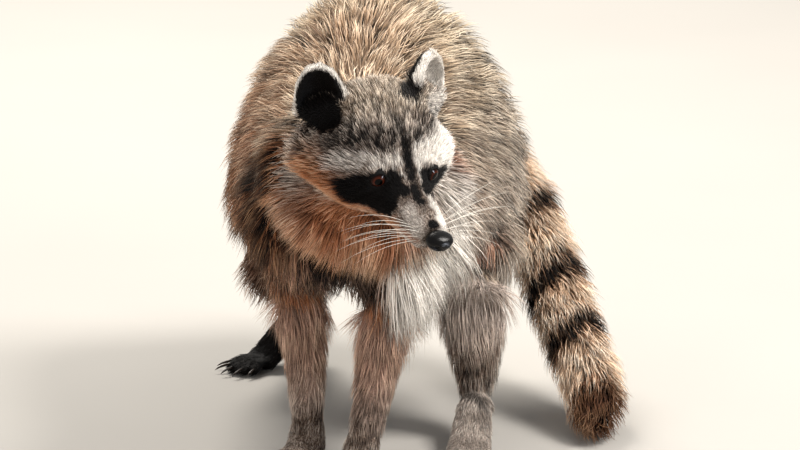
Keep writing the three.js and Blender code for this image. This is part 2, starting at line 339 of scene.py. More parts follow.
@dataclass(frozen=True)
class HeadFrame:
    """The head's frame: x to its left, y back and z up, in mm from midway between the eyes' fronts."""

    turn: float = 42.0
    dip: float = 24.0
    tilt: float = 3.0
    eye_set: float = 7.7
    eye_drop: float = 1.5
    eye_spacing: float = 45.0
    eye_splay: float = 20.0
    eye_radius: float = 8.2
    nose_tip: Triple = (0.0, -62.0, -17.0)

    @cached_property
    def rotation(self) -> Array:
        """Turns the head.

        Returns:
            The head's axes as the columns of a matrix, in the model's frame.
        """
        turn, dip, tilt = (math.radians(a) for a in (self.turn, self.dip, self.tilt))
        return np.array(
            Matrix.Rotation(turn, 3, "Z") @ Matrix.Rotation(dip, 3, "X") @ Matrix.Rotation(tilt, 3, "Y"))

    @cached_property
    def origin(self) -> Array:
        """Finds where the head's frame starts.

        Returns:
            The place midway between the fronts of the eyes, in metres.
        """
        boxes = [np.array(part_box(f"eye_{side}")) for side in SIDES]
        middle = sum(box.mean(0) for box in boxes) / len(boxes)
        return middle - self.rotation @ np.array([0.0, self.eye_set, -self.eye_drop]) * MM

    def local(self, points: Array) -> Array:
        """Places in metres, brought into the head's frame."""
        return (points - self.origin) @ self.rotation / MM

    def world(self, points: Array) -> Array:
        """Places in the head's frame, brought back to metres."""
        return np.asarray(points, float) @ self.rotation.T * MM + self.origin

    def way(self, directions: Array) -> Array:
        """Directions in the head's frame, turned into the model's."""
        return np.asarray(directions, float) @ self.rotation.T

    def eye_centre(self, sign: float) -> Array:
        """The middle of one eyeball, in metres."""
        return self.world(np.array([sign * self.eye_spacing / 2, self.eye_set, -self.eye_drop]))

    def eye_axes(self, sign: float) -> Array:
        """One eye's axes as columns, in the model's frame: outwards, backwards and up."""
        splay = Matrix.Rotation(sign * math.radians(self.eye_splay), 3, "Z")
        return self.rotation @ np.array(splay)

    def from_eye(self, sign: float, points: Array) -> tuple[Array, Array, Array]:
        """Places as seen from the middle of one eyeball.

        Args:
            sign: 1 for the left eye and -1 for the right.
            points: the places, in metres.

        Returns:
            The places on the eye's axes, in mm, and how far each lies outwards and upwards from the
            way the eye looks, in degrees.
        """
        local = (points - self.eye_centre(sign)) @ self.eye_axes(sign) / MM
        across = np.degrees(np.arctan2(local[:, 0] * sign, -local[:, 1]))
        up = np.degrees(np.arctan2(local[:, 2], np.hypot(local[:, 0], local[:, 1])))
        return local, across, up


HEAD = HeadFrame()


@dataclass(frozen=True)
class EarFrame:
    """One ear's own frame, in mm: its mouth faces -y and it stands on the origin."""

    side: str
    out: float = 45.0
    back: float = 60.0
    up: float = 11.0
    wide: float = 20.5
    tall: float = 33.0
    rise: float = 19.0
    lean: Pair = (7.0, 19.0)
    turn: Pair = (24.0, 32.0)
    tip_back: Pair = (15.0, 5.0)

    @cached_property
    def rotation(self) -> Array:
        """Turns the ear.

        Returns:
            The ear's axes in the head's frame, as columns.
        """
        sign, index = SIDES[self.side], list(SIDES).index(self.side)
        turn = Matrix.Rotation(math.radians(sign * self.turn[index]), 3, "Z")
        back = Matrix.Rotation(-math.radians(self.tip_back[index]), 3, "X")
        lean = Matrix.Rotation(math.radians(sign * self.lean[index]), 3, "Y")
        return np.array(turn @ back @ lean)

    def local(self, head_points: Array) -> Array:
        """Places in the head's frame, brought into the ear's."""
        return (head_points - np.array([SIDES[self.side] * self.out, self.back, self.up])) @ self.rotation

    def edge(self, head_points: Array) -> Array:
        """How near each place is to the ear's edge as its mouth shows it: 0 in the middle, 1 on the edge."""
        place = self.local(head_points)
        return np.hypot(place[:, 0] / self.wide, (place[:, 2] - self.rise) / self.tall)


EARS = {side: EarFrame(side) for side in SIDES}


@dataclass(frozen=True)
class BodyFrame:
    """The frame in which the body was laid out, in mm: its origin lies under the left forepaw."""

    eye_line: Triple = (66.0, -58.0, 254.0)

    @cached_property
    def shift(self) -> Array:
        """From this frame to the model's, in metres."""
        return HEAD.origin - np.array(self.eye_line) * MM

    def local(self, points: Array) -> Array:
        """Places in metres, brought into this frame."""
        return (points - self.shift) / MM

    def world(self, points: Array) -> Array:
        """Places in this frame, in metres."""
        return np.asarray(points, float) * MM + self.shift


BODY = BodyFrame()


@dataclass(frozen=True)
class TailLine:
    """The middle line of the tail, from its root to its tip, in the body's frame."""

    skew: float = 0.35
    points: tuple[Triple, ...] = (
        (-6, 316, 238), (22, 338, 214), (58, 338, 182), (91, 317, 150), (114, 283, 117),
        (136, 243, 85), (156, 202, 58), (174, 166, 35), (182, 134, 21), (184, 108, 17),
    )
    samples: int = 160

    @cached_property
    def line(self) -> tuple[Array, Array]:
        """Lays points evenly on the line.

        Returns:
            The points, in metres, and how far along each one is, in mm.
        """
        corners = np.array(self.points, float)
        reach = np.r_[0.0, np.cumsum(np.linalg.norm(np.diff(corners, axis=0), axis=1))]
        along = np.linspace(0.0, reach[-1], self.samples)
        places = np.stack([np.interp(along, reach, corners[:, i]) for i in range(3)], 1)
        return BODY.world(places), along

    def middle(self, back: Array) -> Array:
        """How far left the middle line lies where it is this far back, both in mm."""
        corners = np.array(self.points[2:], float)[::-1]
        return np.interp(back, corners[:, 1], corners[:, 0])

    def nearest(self, points: Array) -> tuple[Array, Array]:
        """Finds where on the tail each place is.

        Args:
            points: the places, in metres.

        Returns:
            How far along the tail each is, in mm, and which way the tail runs there.
        """
        line, along = self.line
        ways = unit(np.gradient(line, axis=0))
        index = nearest_of(points, line, np.arange(len(line)))
        offset = ((points - line[index]) * ways[index]).sum(1) / MM
        return along[index] + offset, ways[index]


TAIL = TailLine()


# ---- soft bands

@dataclass(frozen=True)
class Stroke:
    """A soft band between two places, in the head's or the body's frame, in mm."""

    start: Triple
    end: Triple
    radii: Pair
    strength: float = 1.0
    soft: float = 0.35

    def cover(self, place: Array) -> Array:
        """Lays the band over places.

        Args:
            place: the places, in the band's frame.

        Returns:
            How far the band covers each, from 0 to its strength.
        """
        start, end = np.array(self.start, float), np.array(self.end, float)
        run = end - start
        share = np.clip(((place - start) @ run) / max(run @ run, 1e-9), 0.0, 1.0)
        away = np.linalg.norm(place - start - share[:, None] * run, axis=1)
        radius = self.radii[0] + (self.radii[1] - self.radii[0]) * share
        return self.strength * (1.0 - ease(1.0 - self.soft, 1.0 + self.soft, away / radius))


def cover(strokes: tuple[Stroke, ...], place: Array) -> Array:
    """How far a set of bands covers each place."""
    return np.max([stroke.cover(place) for stroke in strokes], axis=0)


def mirrored(place: Array) -> Array:
    """Places in the head's frame, all brought to its left side."""
    return place * np.array([0.0, 1.0, 1.0]) + np.abs(place) * np.array([1.0, 0.0, 0.0])


EAR_HOLLOW = (Stroke((50, 53, 24), (62, 58, 15), (13, 14), 1.0, 0.4),)


# ---- the coat's depth and length

@dataclass(frozen=True)
class Pelt:
    """How the coat grows on one region, in mm."""

    depth: float
    length: float
    width: float


PELTS = {
    "trunk": Pelt(17, 44, 1.1),
    "neck": Pelt(14, 40, 1.0),
    "head": Pelt(6, 12, 0.8),
    "lower_jaw": Pelt(2.4, 6, 0.55),
    "ear": Pelt(0.5, 5, 0.5),
    "tail_base": Pelt(13, 34, 1.1),
    "tail_middle": Pelt(14, 36, 1.1),
    "tail_tip": Pelt(14, 36, 1.1),
    "upper_foreleg": Pelt(9, 32, 0.95),
    "forearm": Pelt(4.5, 20, 0.8),
    "forepaw": Pelt(2.2, 13, 0.72),
    "thigh": Pelt(10, 36, 1.0),
    "shank": Pelt(6, 23, 0.85),
    "hindpaw": Pelt(2.4, 14, 0.75),
}


@dataclass(frozen=True)
class HeadPelt:
    """The coat of the head in mm, from the close hair of the muzzle to the ruff of the cheeks."""

    muzzle: float = 2.2
    crown: float = 4.5
    cheek: float = 9.0
    throat: float = 7.0
    rise: Pair = (-12.0, 45.0)
    shortest: float = 3.2
    longer: float = 1.6
    ruff: float = 0.8
    brow_rise: float = 2.5
    ear_mouth: Triple = (0.0, -10.0, 2.0)
    ear_trim: float = 0.72
    hollow_trim: float = 0.5

    def depth(self, place: Array) -> Array:
        """The coat's depth.

        Args:
            place: places in the head's frame.

        Returns:
            The depth at each, in mm.
        """
        back = ease(*self.rise, place[:, 1])
        cheek = ease(34.0, 66.0, np.abs(place[:, 0])) * ease(10.0, 42.0, place[:, 1])
        throat = ease(-24.0, -46.0, place[:, 2]) * ease(0.0, 35.0, place[:, 1])
        return self.muzzle + self.crown * back + self.cheek * cheek + self.throat * throat

    def length(self, place: Array) -> Array:
        """The length of the hair, which is short in front of the ears.

        Args:
            place: places in the head's frame.

        Returns:
            The length at each, in mm.
        """
        ruff = ease(38.0, 64.0, np.abs(place[:, 0])) * ease(20.0, -10.0, place[:, 2])
        length = self.shortest + (self.longer + self.ruff * ruff) * (self.depth(place) - self.muzzle)
        length = length + self.brow_rise * ease(-30.0, 10.0, place[:, 1])
        for ear in EARS.values():
            away = np.linalg.norm(ear.local(place) - np.array(self.ear_mouth), axis=1)
            length = length * (1 - self.ear_trim * ease(36.0, 18.0, away))
        return length * (1 - self.hollow_trim * cover(EAR_HOLLOW, mirrored(place)))

    def width(self, place: Array) -> Array:
        """The width of a lock at places in the head's frame."""
        return 0.45 + 0.045 * (self.depth(place) - self.muzzle)


HEAD_PELT = HeadPelt()


# ---- markings

MASK = (
    Stroke((18, -3, 0), (36, 9, -10), (11, 11), soft=0.18),
    Stroke((36, 9, -10), (50, 17, -16), (11, 8.5), soft=0.22),
    Stroke((21, -8, -13), (42, 12, -26), (11.5, 11.5), soft=0.22),
    Stroke((50, 17, -16), (62, 24, -15), (7, 3), 0.9),
    Stroke((10, -12, -2), (18, -5, 0), (5.5, 7), soft=0.3),
)
BROW = (
    Stroke((7, 8, 18), (14, 6, 16), (4.5, 5), 0.85, 0.5),
    Stroke((14, 6, 16), (37, 14, 12), (5, 6.5), 0.72, 0.5),
    Stroke((37, 14, 12), (64, 26, 4), (7, 9), 0.52, 0.5),
    Stroke((8, 6, 15), (9, -4, 7), (3.2, 2.4), 0.8, 0.5),
)
# painted light: the left brow, the left side of the nose and muzzle and the left cheek are paler where the
# light falls on them
LEFT_FACE_PAINTED_LIGHT = (
    Stroke((14, 9, 19), (44, 20, 13), (8, 15), 1.0, 0.45),
    Stroke((44, 20, 13), (56, 32, 10), (17, 18), 1.0, 0.5),
    Stroke((9, 4, 12), (11, -14, 0), (4.0, 4.0), 1.0),
    Stroke((11, -14, 0), (10, -48, -9), (4.0, 5.5), 1.0, 0.5),
    Stroke((13, -30, -12), (13, -52, -18), (8, 7), 0.9),
    Stroke((54, 26, -12), (66, 34, -24), (14, 20), 0.9, 0.6),
    Stroke((66, 34, -24), (82, 28, -52), (18, 22), 0.75, 0.6),
)
MUZZLE_SIDE = (
    Stroke((12, -26, -8), (13, -44, -15), (6, 7.5), 0.42, 0.6),
    Stroke((10, -50, -27), (14, -28, -33), (5, 6), 0.4, 0.6),
)
NOSE_STRIPE = (
    Stroke((-2, 34, 38), (-1, 16, 26), (6.0, 6.0), 0.75, 0.6),
    Stroke((-1, 16, 26), (1, -2, 9), (5.5, 5.5), 0.95, 0.5),
    Stroke((1, -2, 9), (-2, -25, -1), (6.5, 5.5), 0.8, 0.5),
    Stroke((-2, -25, -1), (-1, -44, -7), (5.0, 3.0), 0.5, 0.7),
    Stroke((0, -47, -8), (0, -60, -10), (5.5, 9), 0.92, 0.5),
)
FOREHEAD_SHADE = (
    Stroke((10, 18, 28), (42, 30, 29), (12, 17), 0.6, 0.6),
    Stroke((42, 30, 29), (60, 44, 16), (16, 18), 0.62, 0.6),
    Stroke((4, 34, 38), (28, 48, 40), (9, 12), 0.42, 0.8),
    Stroke((60, 36, 4), (68, 50, -2), (13, 18), 0.5, 0.7),
)
# dark patches at the ears' bases: darker hair, and before the left ear partly a painted shadow of the ear
EAR_BASE_DARK_AND_PAINTED_SHADOW = (
    Stroke((18, 54, 42), (26, 60, 42), (9, 11), 0.95, 0.5),
    Stroke((-46, 60, 31), (-62, 67, 18), (12, 12), 1.0, 0.3),
)
CHEEK_WARMTH = (
    Stroke((22, -16, -30), (46, 22, -38), (12, 20), 0.95, 0.6),
    Stroke((46, 22, -38), (70, 42, -26), (24, 28), 0.9, 0.6),
    Stroke((14, -46, -26), (24, -16, -28), (5, 7), 0.8, 0.6),
    Stroke((0, 10, -60), (22, 50, -90), (30, 40), 0.85, 0.6),
)
# darker throat and a dark band behind each cheek: partly darker hair, partly painted shade under the jaw and
# behind the cheek
CHEEK_DARK_AND_PAINTED_SHADE = (
    Stroke((0, 6, -55), (16, 40, -90), (24, 32), 0.26, 0.7),
    Stroke((77, 58, 4), (89, 86, -23), (16, 33), 0.8, 0.8),
)
LIP_SHADE = (Stroke((12, -52, -27), (16, -10, -34), (1.6, 1.8), 0.85, 0.6),)


# a dark band from behind the right cheek down to the far shoulder: partly darker hair, partly painted shade
NECK_DARK_AND_PAINTED_SHADE = (
    Stroke((-24, -66, 276), (-80, 60, 225), (26, 40), 0.34, 0.6),
    Stroke((-80, 60, 225), (-92, 60, 180), (40, 36), 0.16, 0.7),
)
HOCK = (Stroke((84, 102, 45), (102, 88, 41), (12, 12), 1.0, 0.6),)


@dataclass(frozen=True)
class TailRings:
    """The dark rings of the tail, each from one distance along it to another, in mm."""

    bands: tuple[Pair, ...] = ((104, 128), (166, 188), (236, 262), (297, 323), (374, 430))
    soft: float = 7.0

    def cover(self, along: Array) -> Array:
        """Lays the dark rings over the tail.

        Args:
            along: how far along the tail each place is, in mm.

        Returns:
            How far the rings cover each, from 0 to 1.
        """
        parts = [ease(a - self.soft, a + self.soft, along) * (1 - ease(b - self.soft, b + self.soft, along))
                 for a, b in self.bands]
        return np.max(parts, axis=0)


RINGS = TailRings()


class Site:
    """Places on the skin, as the markings look at them. Frames are in mm."""

    waver = 1.3
    waver_length = 9.0

    def __init__(self, points: Array, normals: Array, weights: dict[str, Array]) -> None:
        """Brings the places into the head's and the body's frames.

        Args:
            points: the places, in metres.
            normals: the way out of the skin at each.
            weights: how far each belongs to each region.
        """
        self.points, self.normals, self.weights = points, normals, weights
        self.plain = HEAD.local(points)
        waves = [ripple(self.plain, self.waver_length, 40 + axis) for axis in range(3)]
        self.head = self.plain + self.waver * np.stack(waves, 1)
        self.both = mirrored(self.head)
        self.body = BODY.local(points)
        self.on_head = np.clip(weights["head"] + weights["lower_jaw"], 0, 1)
        self.near_head = np.clip(self.on_head + weights["neck"] * ease(95.0, 60.0, self.head[:, 1]), 0, 1)


@dataclass(frozen=True)
class Strengths:
    """How strongly each shade shows, from 0 to 1."""

    fleck: float = 0.22
    ear_hollow_pale: float = 0.6
    crown_gold: float = 0.35
    back_dark: Pair = (0.14, 0.3)
    flank_dark: Pair = (0.16, 0.25)
    # painted shade on the far flank
    far_flank_painted_shade: float = 0.54
    flank_limit: float = 0.66
    # a darker chest, partly painted shade, with painted shade between the forelegs
    chest_dark_and_painted_shade: Pair = (0.18, 0.42)
    trunk_limit: float = 0.72
    back_gold: float = 0.8
    flank_gold: float = 0.25
    chest_warm: float = 0.95
    foreleg_warm: float = 0.85
    # the warmth of the painted shade on the far flank
    far_flank_shade_warmth: float = 0.65
    belly_pale: float = 0.2
    flank_pale: float = 0.15
    bib_clear: float = 0.8
    ring_dark: Pair = (0.76, 0.12)
    tail_warm: Pair = (0.12, 0.83)
    tail_pale: float = 0.22
    # painted shade on the far hind leg and, above the paws' own dark, on its paw
    far_shank_painted_shade: float = 0.5
    paw_dark: float = 0.36
    far_paw_dark_and_shade: float = 0.5
    near_paw_dark: float = -0.24
    hock_dark: float = 0.6
    near_shank_clear: float = 0.6
    forearm_warm: Pair = (0.75, 0.7)
    near_shank_warm: float = 0.62
    # the warmth of the painted shade on the far shank
    far_shank_shade_warmth: float = 0.4
    near_shank_pale: float = 0.56
    forearm_pale: float = 0.18
    near_paw_pale: float = 0.2
    ear_dark: float = 0.93
    ear_inner: float = 0.85


SHOWS = Strengths()


class Markings:
    """The shades of the coat at many places, each from 0 to 1."""

    def __init__(self, site: Site) -> None:
        """Works out the shades.

        Args:
            site: the places.
        """
        self.site = site
        self.dark, self.pale, self.warm, self.gold = np.zeros((4, len(site.points)))
        self.mark_head()
        self.mark_trunk()
        self.mark_tail()
        self.mark_legs()
        self.mark_ears()

    @property
    def columns(self) -> Array:
        """The four shades side by side."""
        return np.clip(np.stack([self.dark, self.pale, self.warm, self.gold], 1), 0.0, 1.0)

    def mark_head(self) -> None:
        """Marks the mask, the brows, the nose stripe, the cheeks and the hollows before the ears, with
        painted light on the left of the face and painted shade under the jaw, behind the cheeks and at the
        ears' bases.
        """
        site, head, both = self.site, self.site.head, self.site.both
        mask = cover(MASK, both)
        # lit: painted light on the left side of the face, which also takes the warmth out of the cheek there
        lit = cover(LEFT_FACE_PAINTED_LIGHT, head) * (1 - mask)
        stripe = cover(NOSE_STRIPE, head)
        lights = np.maximum(cover(BROW, both) * (1 - mask), lit) * (1 - np.clip(stripe * 1.2, 0, 1))
        fleck = SHOWS.fleck * ripple(site.plain, 7.0, 61) * ease(4.0, 26.0, head[:, 2]) * site.on_head
        # shade: a darker forehead and flecks, with painted shade under the jaw and behind the cheeks
        shade = (np.maximum(cover(FOREHEAD_SHADE, both), cover(CHEEK_DARK_AND_PAINTED_SHADE, both)) + fleck) * (1 - lights)
        hollow, right = cover(EAR_HOLLOW, both), head[:, 0] < 0
        # the ears' bases are dark with hair, and with a painted shadow of the left ear
        dark = [mask, stripe, shade, cover(EAR_BASE_DARK_AND_PAINTED_SHADOW, head), cover(LIP_SHADE, both), hollow * right]
        self.dark = site.near_head * np.max(dark, axis=0)
        self.pale = site.near_head * np.maximum(lights, cover(MUZZLE_SIDE, both) * (1 - stripe))
        self.pale = np.maximum(self.pale, SHOWS.ear_hollow_pale * hollow * ~right)
        self.warm = site.near_head * cover(CHEEK_WARMTH, both) * (1 - mask) * (1 - 0.9 * np.clip(lit, 0, 1))
        crown = site.on_head * ease(24.0, 50.0, head[:, 1]) * ease(22.0, 38.0, head[:, 2])
        self.gold = SHOWS.crown_gold * crown

    def mark_trunk(self) -> None:
        """Marks the gold back, the mottled flanks, painted shade on the far side, behind the neck and
        between the forelegs, and the pale bib.
        """
        weights, normals, body = self.site.weights, self.site.normals, self.site.body
        off_head = 1 - self.site.near_head
        trunk = weights["trunk"] + weights["thigh"] + 0.8 * weights["neck"]
        fore = weights["trunk"] + weights["neck"]
        top = ease(0.1, 0.85, normals[:, 2]) * trunk * off_head
        under = ease(0.1, -0.7, normals[:, 2]) * trunk * off_head
        front = ease(0.1, 0.8, -normals[:, 1]) * fore * off_head
        flank = trunk * (1 - top) * off_head
        # far: painted shade, so that the far side of the body shows darker and warmer
        far = ease(50.0, -60.0, body[:, 0])
        # between: where painted shade darkens the chest between the forelegs, under the head
        between = ease(205.0, 175.0, body[:, 2]) * ease(42.0, 16.0, np.abs(body[:, 0] - 8))
        mottle = ripple(body, 30.0, 3) + 0.7 * ripple(body, 13.0, 11)

        plain, mottled = SHOWS.back_dark
        deep = top * np.clip(plain + mottled * mottle, 0, 1)
        plain, mottled = SHOWS.flank_dark
        shade = plain + mottled * mottle + SHOWS.far_flank_painted_shade * far
        deep = deep + flank * np.clip(shade, 0, SHOWS.flank_limit)
        # the chest is darker in front, partly darker hair and partly painted shade, and darkest between the
        # forelegs
        plain, narrow = SHOWS.chest_dark_and_painted_shade
        deep = deep + (plain + narrow * between) * front * ease(60.0, 20.0, np.abs(body[:, 0] - 10))
        # painted shade and darker hair behind the right cheek, down to the far shoulder
        deep = deep + cover(NECK_DARK_AND_PAINTED_SHADE, body) * fore * off_head
        self.dark += np.minimum(deep, SHOWS.trunk_limit)
        self.gold += SHOWS.back_gold * top + SHOWS.flank_gold * flank * (1 - far)
        self.warm += SHOWS.chest_warm * front + SHOWS.foreleg_warm * weights["upper_foreleg"]
        self.warm += SHOWS.far_flank_shade_warmth * flank * far
        self.pale += SHOWS.belly_pale * under + SHOWS.flank_pale * flank * (1 - far)

        bib = ease(28.0, 52.0, body[:, 0]) * ease(120.0, 70.0, body[:, 1]) * ease(205.0, 180.0, body[:, 2])
        bib = bib * (weights["trunk"] + weights["upper_foreleg"]) * off_head
        self.pale += bib
        self.dark *= 1 - SHOWS.bib_clear * bib
        self.warm *= 1 - SHOWS.bib_clear * bib

    def mark_tail(self) -> None:
        """Marks the rings of the tail, which fade a little at its tip."""
        weights, body = self.site.weights, self.site.body
        along = TAIL.nearest(self.site.points)[0] + TAIL.skew * (body[:, 0] - TAIL.middle(body[:, 1]))
        tail = weights["tail_base"] + weights["tail_middle"] + weights["tail_tip"]
        rings = RINGS.cover(along + 3.0 * ripple(body, 22.0, 5)) * ease(60.0, 90.0, along)
        full, faded = SHOWS.ring_dark
        self.dark += tail * rings * (full - faded * ease(330.0, 380.0, along))
        everywhere, in_rings = SHOWS.tail_warm
        self.warm += tail * (everywhere + in_rings * rings)
        self.pale += tail * (1 - rings) * SHOWS.tail_pale

    def mark_legs(self) -> None:
        """Marks the legs: warm above, darker at the paws, and darkest on the far hind leg, which is painted
        in shade.
        """
        weights, body = self.site.weights, self.site.body
        low = ease(75.0, 25.0, body[:, 2])
        near = ease(-20.0, 20.0, body[:, 0])
        near_shank = weights["shank"] * ease(50.0, 70.0, body[:, 2]) * near
        far_shank = weights["shank"] * (1 - near)
        far_paw = weights["hindpaw"] * ease(-20.0, -60.0, body[:, 0])
        near_paw = weights["hindpaw"] - far_paw
        ends = (weights["forearm"] + weights["forepaw"] + weights["hindpaw"]) * low
        hock = cover(HOCK, body) * (weights["shank"] + weights["hindpaw"])
        # painted shade: the far shank and the far hind paw are darker, beyond the paws' own dark
        self.dark += SHOWS.far_shank_painted_shade * far_shank + SHOWS.paw_dark * ends
        self.dark += SHOWS.far_paw_dark_and_shade * far_paw + SHOWS.near_paw_dark * near_paw
        self.dark = (self.dark + SHOWS.hock_dark * hock) * (1 - SHOWS.near_shank_clear * near_shank)
        warm, low_loss = SHOWS.forearm_warm
        self.warm += weights["forearm"] * warm * (1 - low_loss * low)
        self.warm += SHOWS.near_shank_warm * near_shank + SHOWS.far_shank_shade_warmth * far_shank
        self.pale += SHOWS.near_shank_pale * near_shank + SHOWS.forearm_pale * weights["forearm"]
        self.pale += SHOWS.near_paw_pale * near_paw

    def mark_ears(self) -> None:
        """Marks the ears: black, with a white rim, and pale hair inside the left one."""
        plain = self.site.plain
        ear, left = ease(0.25, 0.6, self.site.weights["ear"]), plain[:, 0] > 0
        edge = np.where(left, EARS["left"].edge(plain), EARS["right"].edge(plain))
        place = np.where(left[:, None], EARS["left"].local(plain), EARS["right"].local(plain))
        rim = ear * ease(0.86, 0.96, edge) * ease(4.0, -1.0, place[:, 1]) * ease(-2.0, 14.0, place[:, 2])
        facing = (self.site.normals @ HEAD.rotation) @ EARS["left"].rotation
        inner = ear * left * ease(0.15, -0.2, facing[:, 1])
        light = np.clip(rim + SHOWS.ear_inner * inner, 0, 1)
        self.dark = self.dark * (1 - ear) + ear * SHOWS.ear_dark * (1 - light)
        self.pale = self.pale * (1 - ear) + light
        self.warm, self.gold = self.warm * (1 - ear), self.gold * (1 - ear)


# ---- the skin

class Surface:
    """A mesh as arrays, with the moves that shape a skin."""

    def __init__(self, mesh: Mesh) -> None:
        """Reads a mesh.

        Args:
            mesh: the mesh to read, and to write back to.
        """
        self.mesh = mesh
        self.count = len(mesh.vertices)
        self.co = read(mesh.vertices, "co", 3).astype(float)
        self.edges = read(mesh.edges, "vertices", 2, np.int32)
        mesh.calc_loop_triangles()
        self.triangles = read(mesh.loop_triangles, "vertices", 3, np.int32)
        self.degree = np.maximum(np.bincount(self.edges.ravel(), minlength=self.count), 1)

    def normals(self) -> Array:
        """Works out the way out of the surface.

        Returns:
            A direction for each vertex.
        """
        a, b, c = (self.co[self.triangles[:, i]] for i in range(3))
        face = np.cross(b - a, c - a)
        total = np.zeros((self.count, 3))
        for axis in range(3):
            for corner in range(3):
                total[:, axis] += np.bincount(self.triangles[:, corner], face[:, axis], self.count)
        return unit(total)

    def spread(self, values: Array, rounds: int) -> Array:
        """Evens values out over the surface.

        Args:
            values: one row for each vertex.
            rounds: how often each takes the mean of its neighbours and itself.

        Returns:
            The evened values.
        """
        out = np.array(values, float).reshape(self.count, -1)
        a, b = self.edges[:, 0], self.edges[:, 1]
        for _ in range(rounds):
            mean = np.stack([
                np.bincount(a, out[b, k], self.count) + np.bincount(b, out[a, k], self.count)
                for k in range(out.shape[1])
            ], 1) / self.degree[:, None]
            out = 0.5 * (out + mean)
        return out.reshape(np.shape(values))

    def relax(self, rounds: int, share: Array | float = 1.0, keep: bool = False) -> None:
        """Smooths the surface.

        Args:
            rounds: how often.
            share: how fully, at each vertex or everywhere.
            keep: whether each round is followed by one outwards, so that thin parts stay thick.
        """
        for turn in range(rounds * (2 if keep else 1)):
            way = -1.04 if keep and turn % 2 else 1.0
            even = self.spread(self.co, 1)
            self.co = self.co + way * (even - self.co) * np.reshape(share, (-1, 1))

    def blended(self, regions: dict[str, Array], rounds: int) -> dict[str, Array]:
        """Softens the borders of regions.

        Args:
            regions: how far each vertex belongs to each region.
            rounds: how often each vertex takes the mean of its neighbours and itself.

        Returns:
            The same table with soft borders.
        """
        table = self.spread(np.stack(list(regions.values()), 1), rounds)
        return dict(zip(regions, table.T))

    def sink(self, depth: Array, steps: int = 9) -> None:
        """Moves the surface inwards, evenly and in small steps.

        Args:
            depth: how far, in metres, at each vertex.
            steps: how many steps it takes.
        """
        for _ in range(steps):
            way = self.spread(self.normals(), 2)
            self.co = self.co - unit(way) * (depth / steps)[:, None]
            self.relax(1, np.clip(depth / (6 * MM), 0, 1))

    def write(self) -> None:
        """Puts the vertices back into the mesh."""
        self.mesh.vertices.foreach_set("co", self.co.astype(np.float32).ravel())
        self.mesh.update()


def voxelled(bm: BMesh, size: float, name: str) -> Mesh:
    """Wraps one closed surface round everything in a bmesh.

    Args:
        bm: overlapping closed solids. It is freed.
        size: the edge of a voxel, in metres.
        name: the new mesh's name.

    Returns:
        The largest closed part of that surface.
    """
    mesh = bpy.data.meshes.new(f"{name}_rough")
    bm.to_mesh(mesh)
    bm.free()
    rough = add_object(mesh.name, mesh)
    wrap = rough.modifiers.new("wrap", "REMESH")
    wrap.mode = "VOXEL"
    wrap.voxel_size = size
    graph = bpy.context.evaluated_depsgraph_get()
    whole = bpy.data.meshes.new_from_object(rough.evaluated_get(graph))
    bpy.data.objects.remove(rough)
    bpy.data.meshes.remove(mesh)
    whole.name = name
    drop_strays(whole)
    return whole


def drop_strays(mesh: Mesh) -> None:
    """Takes all but the largest of its loose parts out of a mesh.

    Args:
        mesh: the mesh.
    """
    surface = Surface(mesh)
    label = np.arange(surface.count)
    a, b = surface.edges.T
    settled = False
    while not settled:
        low, before = np.minimum(label[a], label[b]), label.copy()
        np.minimum.at(label, a, low)
        np.minimum.at(label, b, low)
        label = label[label]
        settled = (label == before).all()
    strays = np.flatnonzero(label != np.bincount(label).argmax())
    if len(strays):
        bm = bmesh.new()
        bm.from_mesh(mesh)
        bm.verts.ensure_lookup_table()
        bmesh.ops.delete(bm, geom=[bm.verts[i] for i in strays], context="VERTS")
        bm.to_mesh(mesh)
        bm.free()


@dataclass(frozen=True)
class Lids:
    """The lids: the opening between them in degrees on the eyeball, and their thickness in mm."""

    half_wide: float = 48.0
    above: float = 45.0
    below: float = 42.0
    corner_drop: float = 5.0
    roundness: float = 0.65
    thick: float = 0.9
    sunk: float = 1.6
    reach: float = 13.5
    hold: float = 9.6

    def openness(self, across: Array, up: Array) -> Array:
        """Tells what lies between the lids.

        Args:
            across: degrees outwards from the way the eye looks.
            up: degrees upwards from it.

        Returns:
            Above 1 inside the opening and below 1 outside it.
        """
        wide = np.clip(1.0 - (across / self.half_wide) ** 2, 0.0, 1.0)
        centre = -self.corner_drop * across / self.half_wide
        limit = np.where(up > centre, self.above, self.below) * wide ** self.roundness
        return (limit + 1e-3) / (np.abs(up - centre) + 1e-3)


LIDS = Lids()


@dataclass(frozen=True)
class Mouth:
    """The line of the mouth on both sides of the muzzle, in the head's frame."""

    height: float = -33.0
    start: float = -8.0
    slope: float = 9.0
    width: float = 1.3
    depth: float = 1.3

    def press(self, surface: Surface) -> None:
        """Presses the line into the muzzle.

        Args:
            surface: the skin.
        """
        local = HEAD.local(surface.co)
        line = self.height + (self.start - local[:, 1]) * math.tan(math.radians(self.slope))
        close = np.exp(-((local[:, 2] - line) / self.width) ** 2)
        along = ease(-56.0, -50.0, local[:, 1]) * ease(-6.0, -14.0, local[:, 1])
        surface.co = surface.co - surface.normals() * (self.depth * MM * close * along)[:, None]


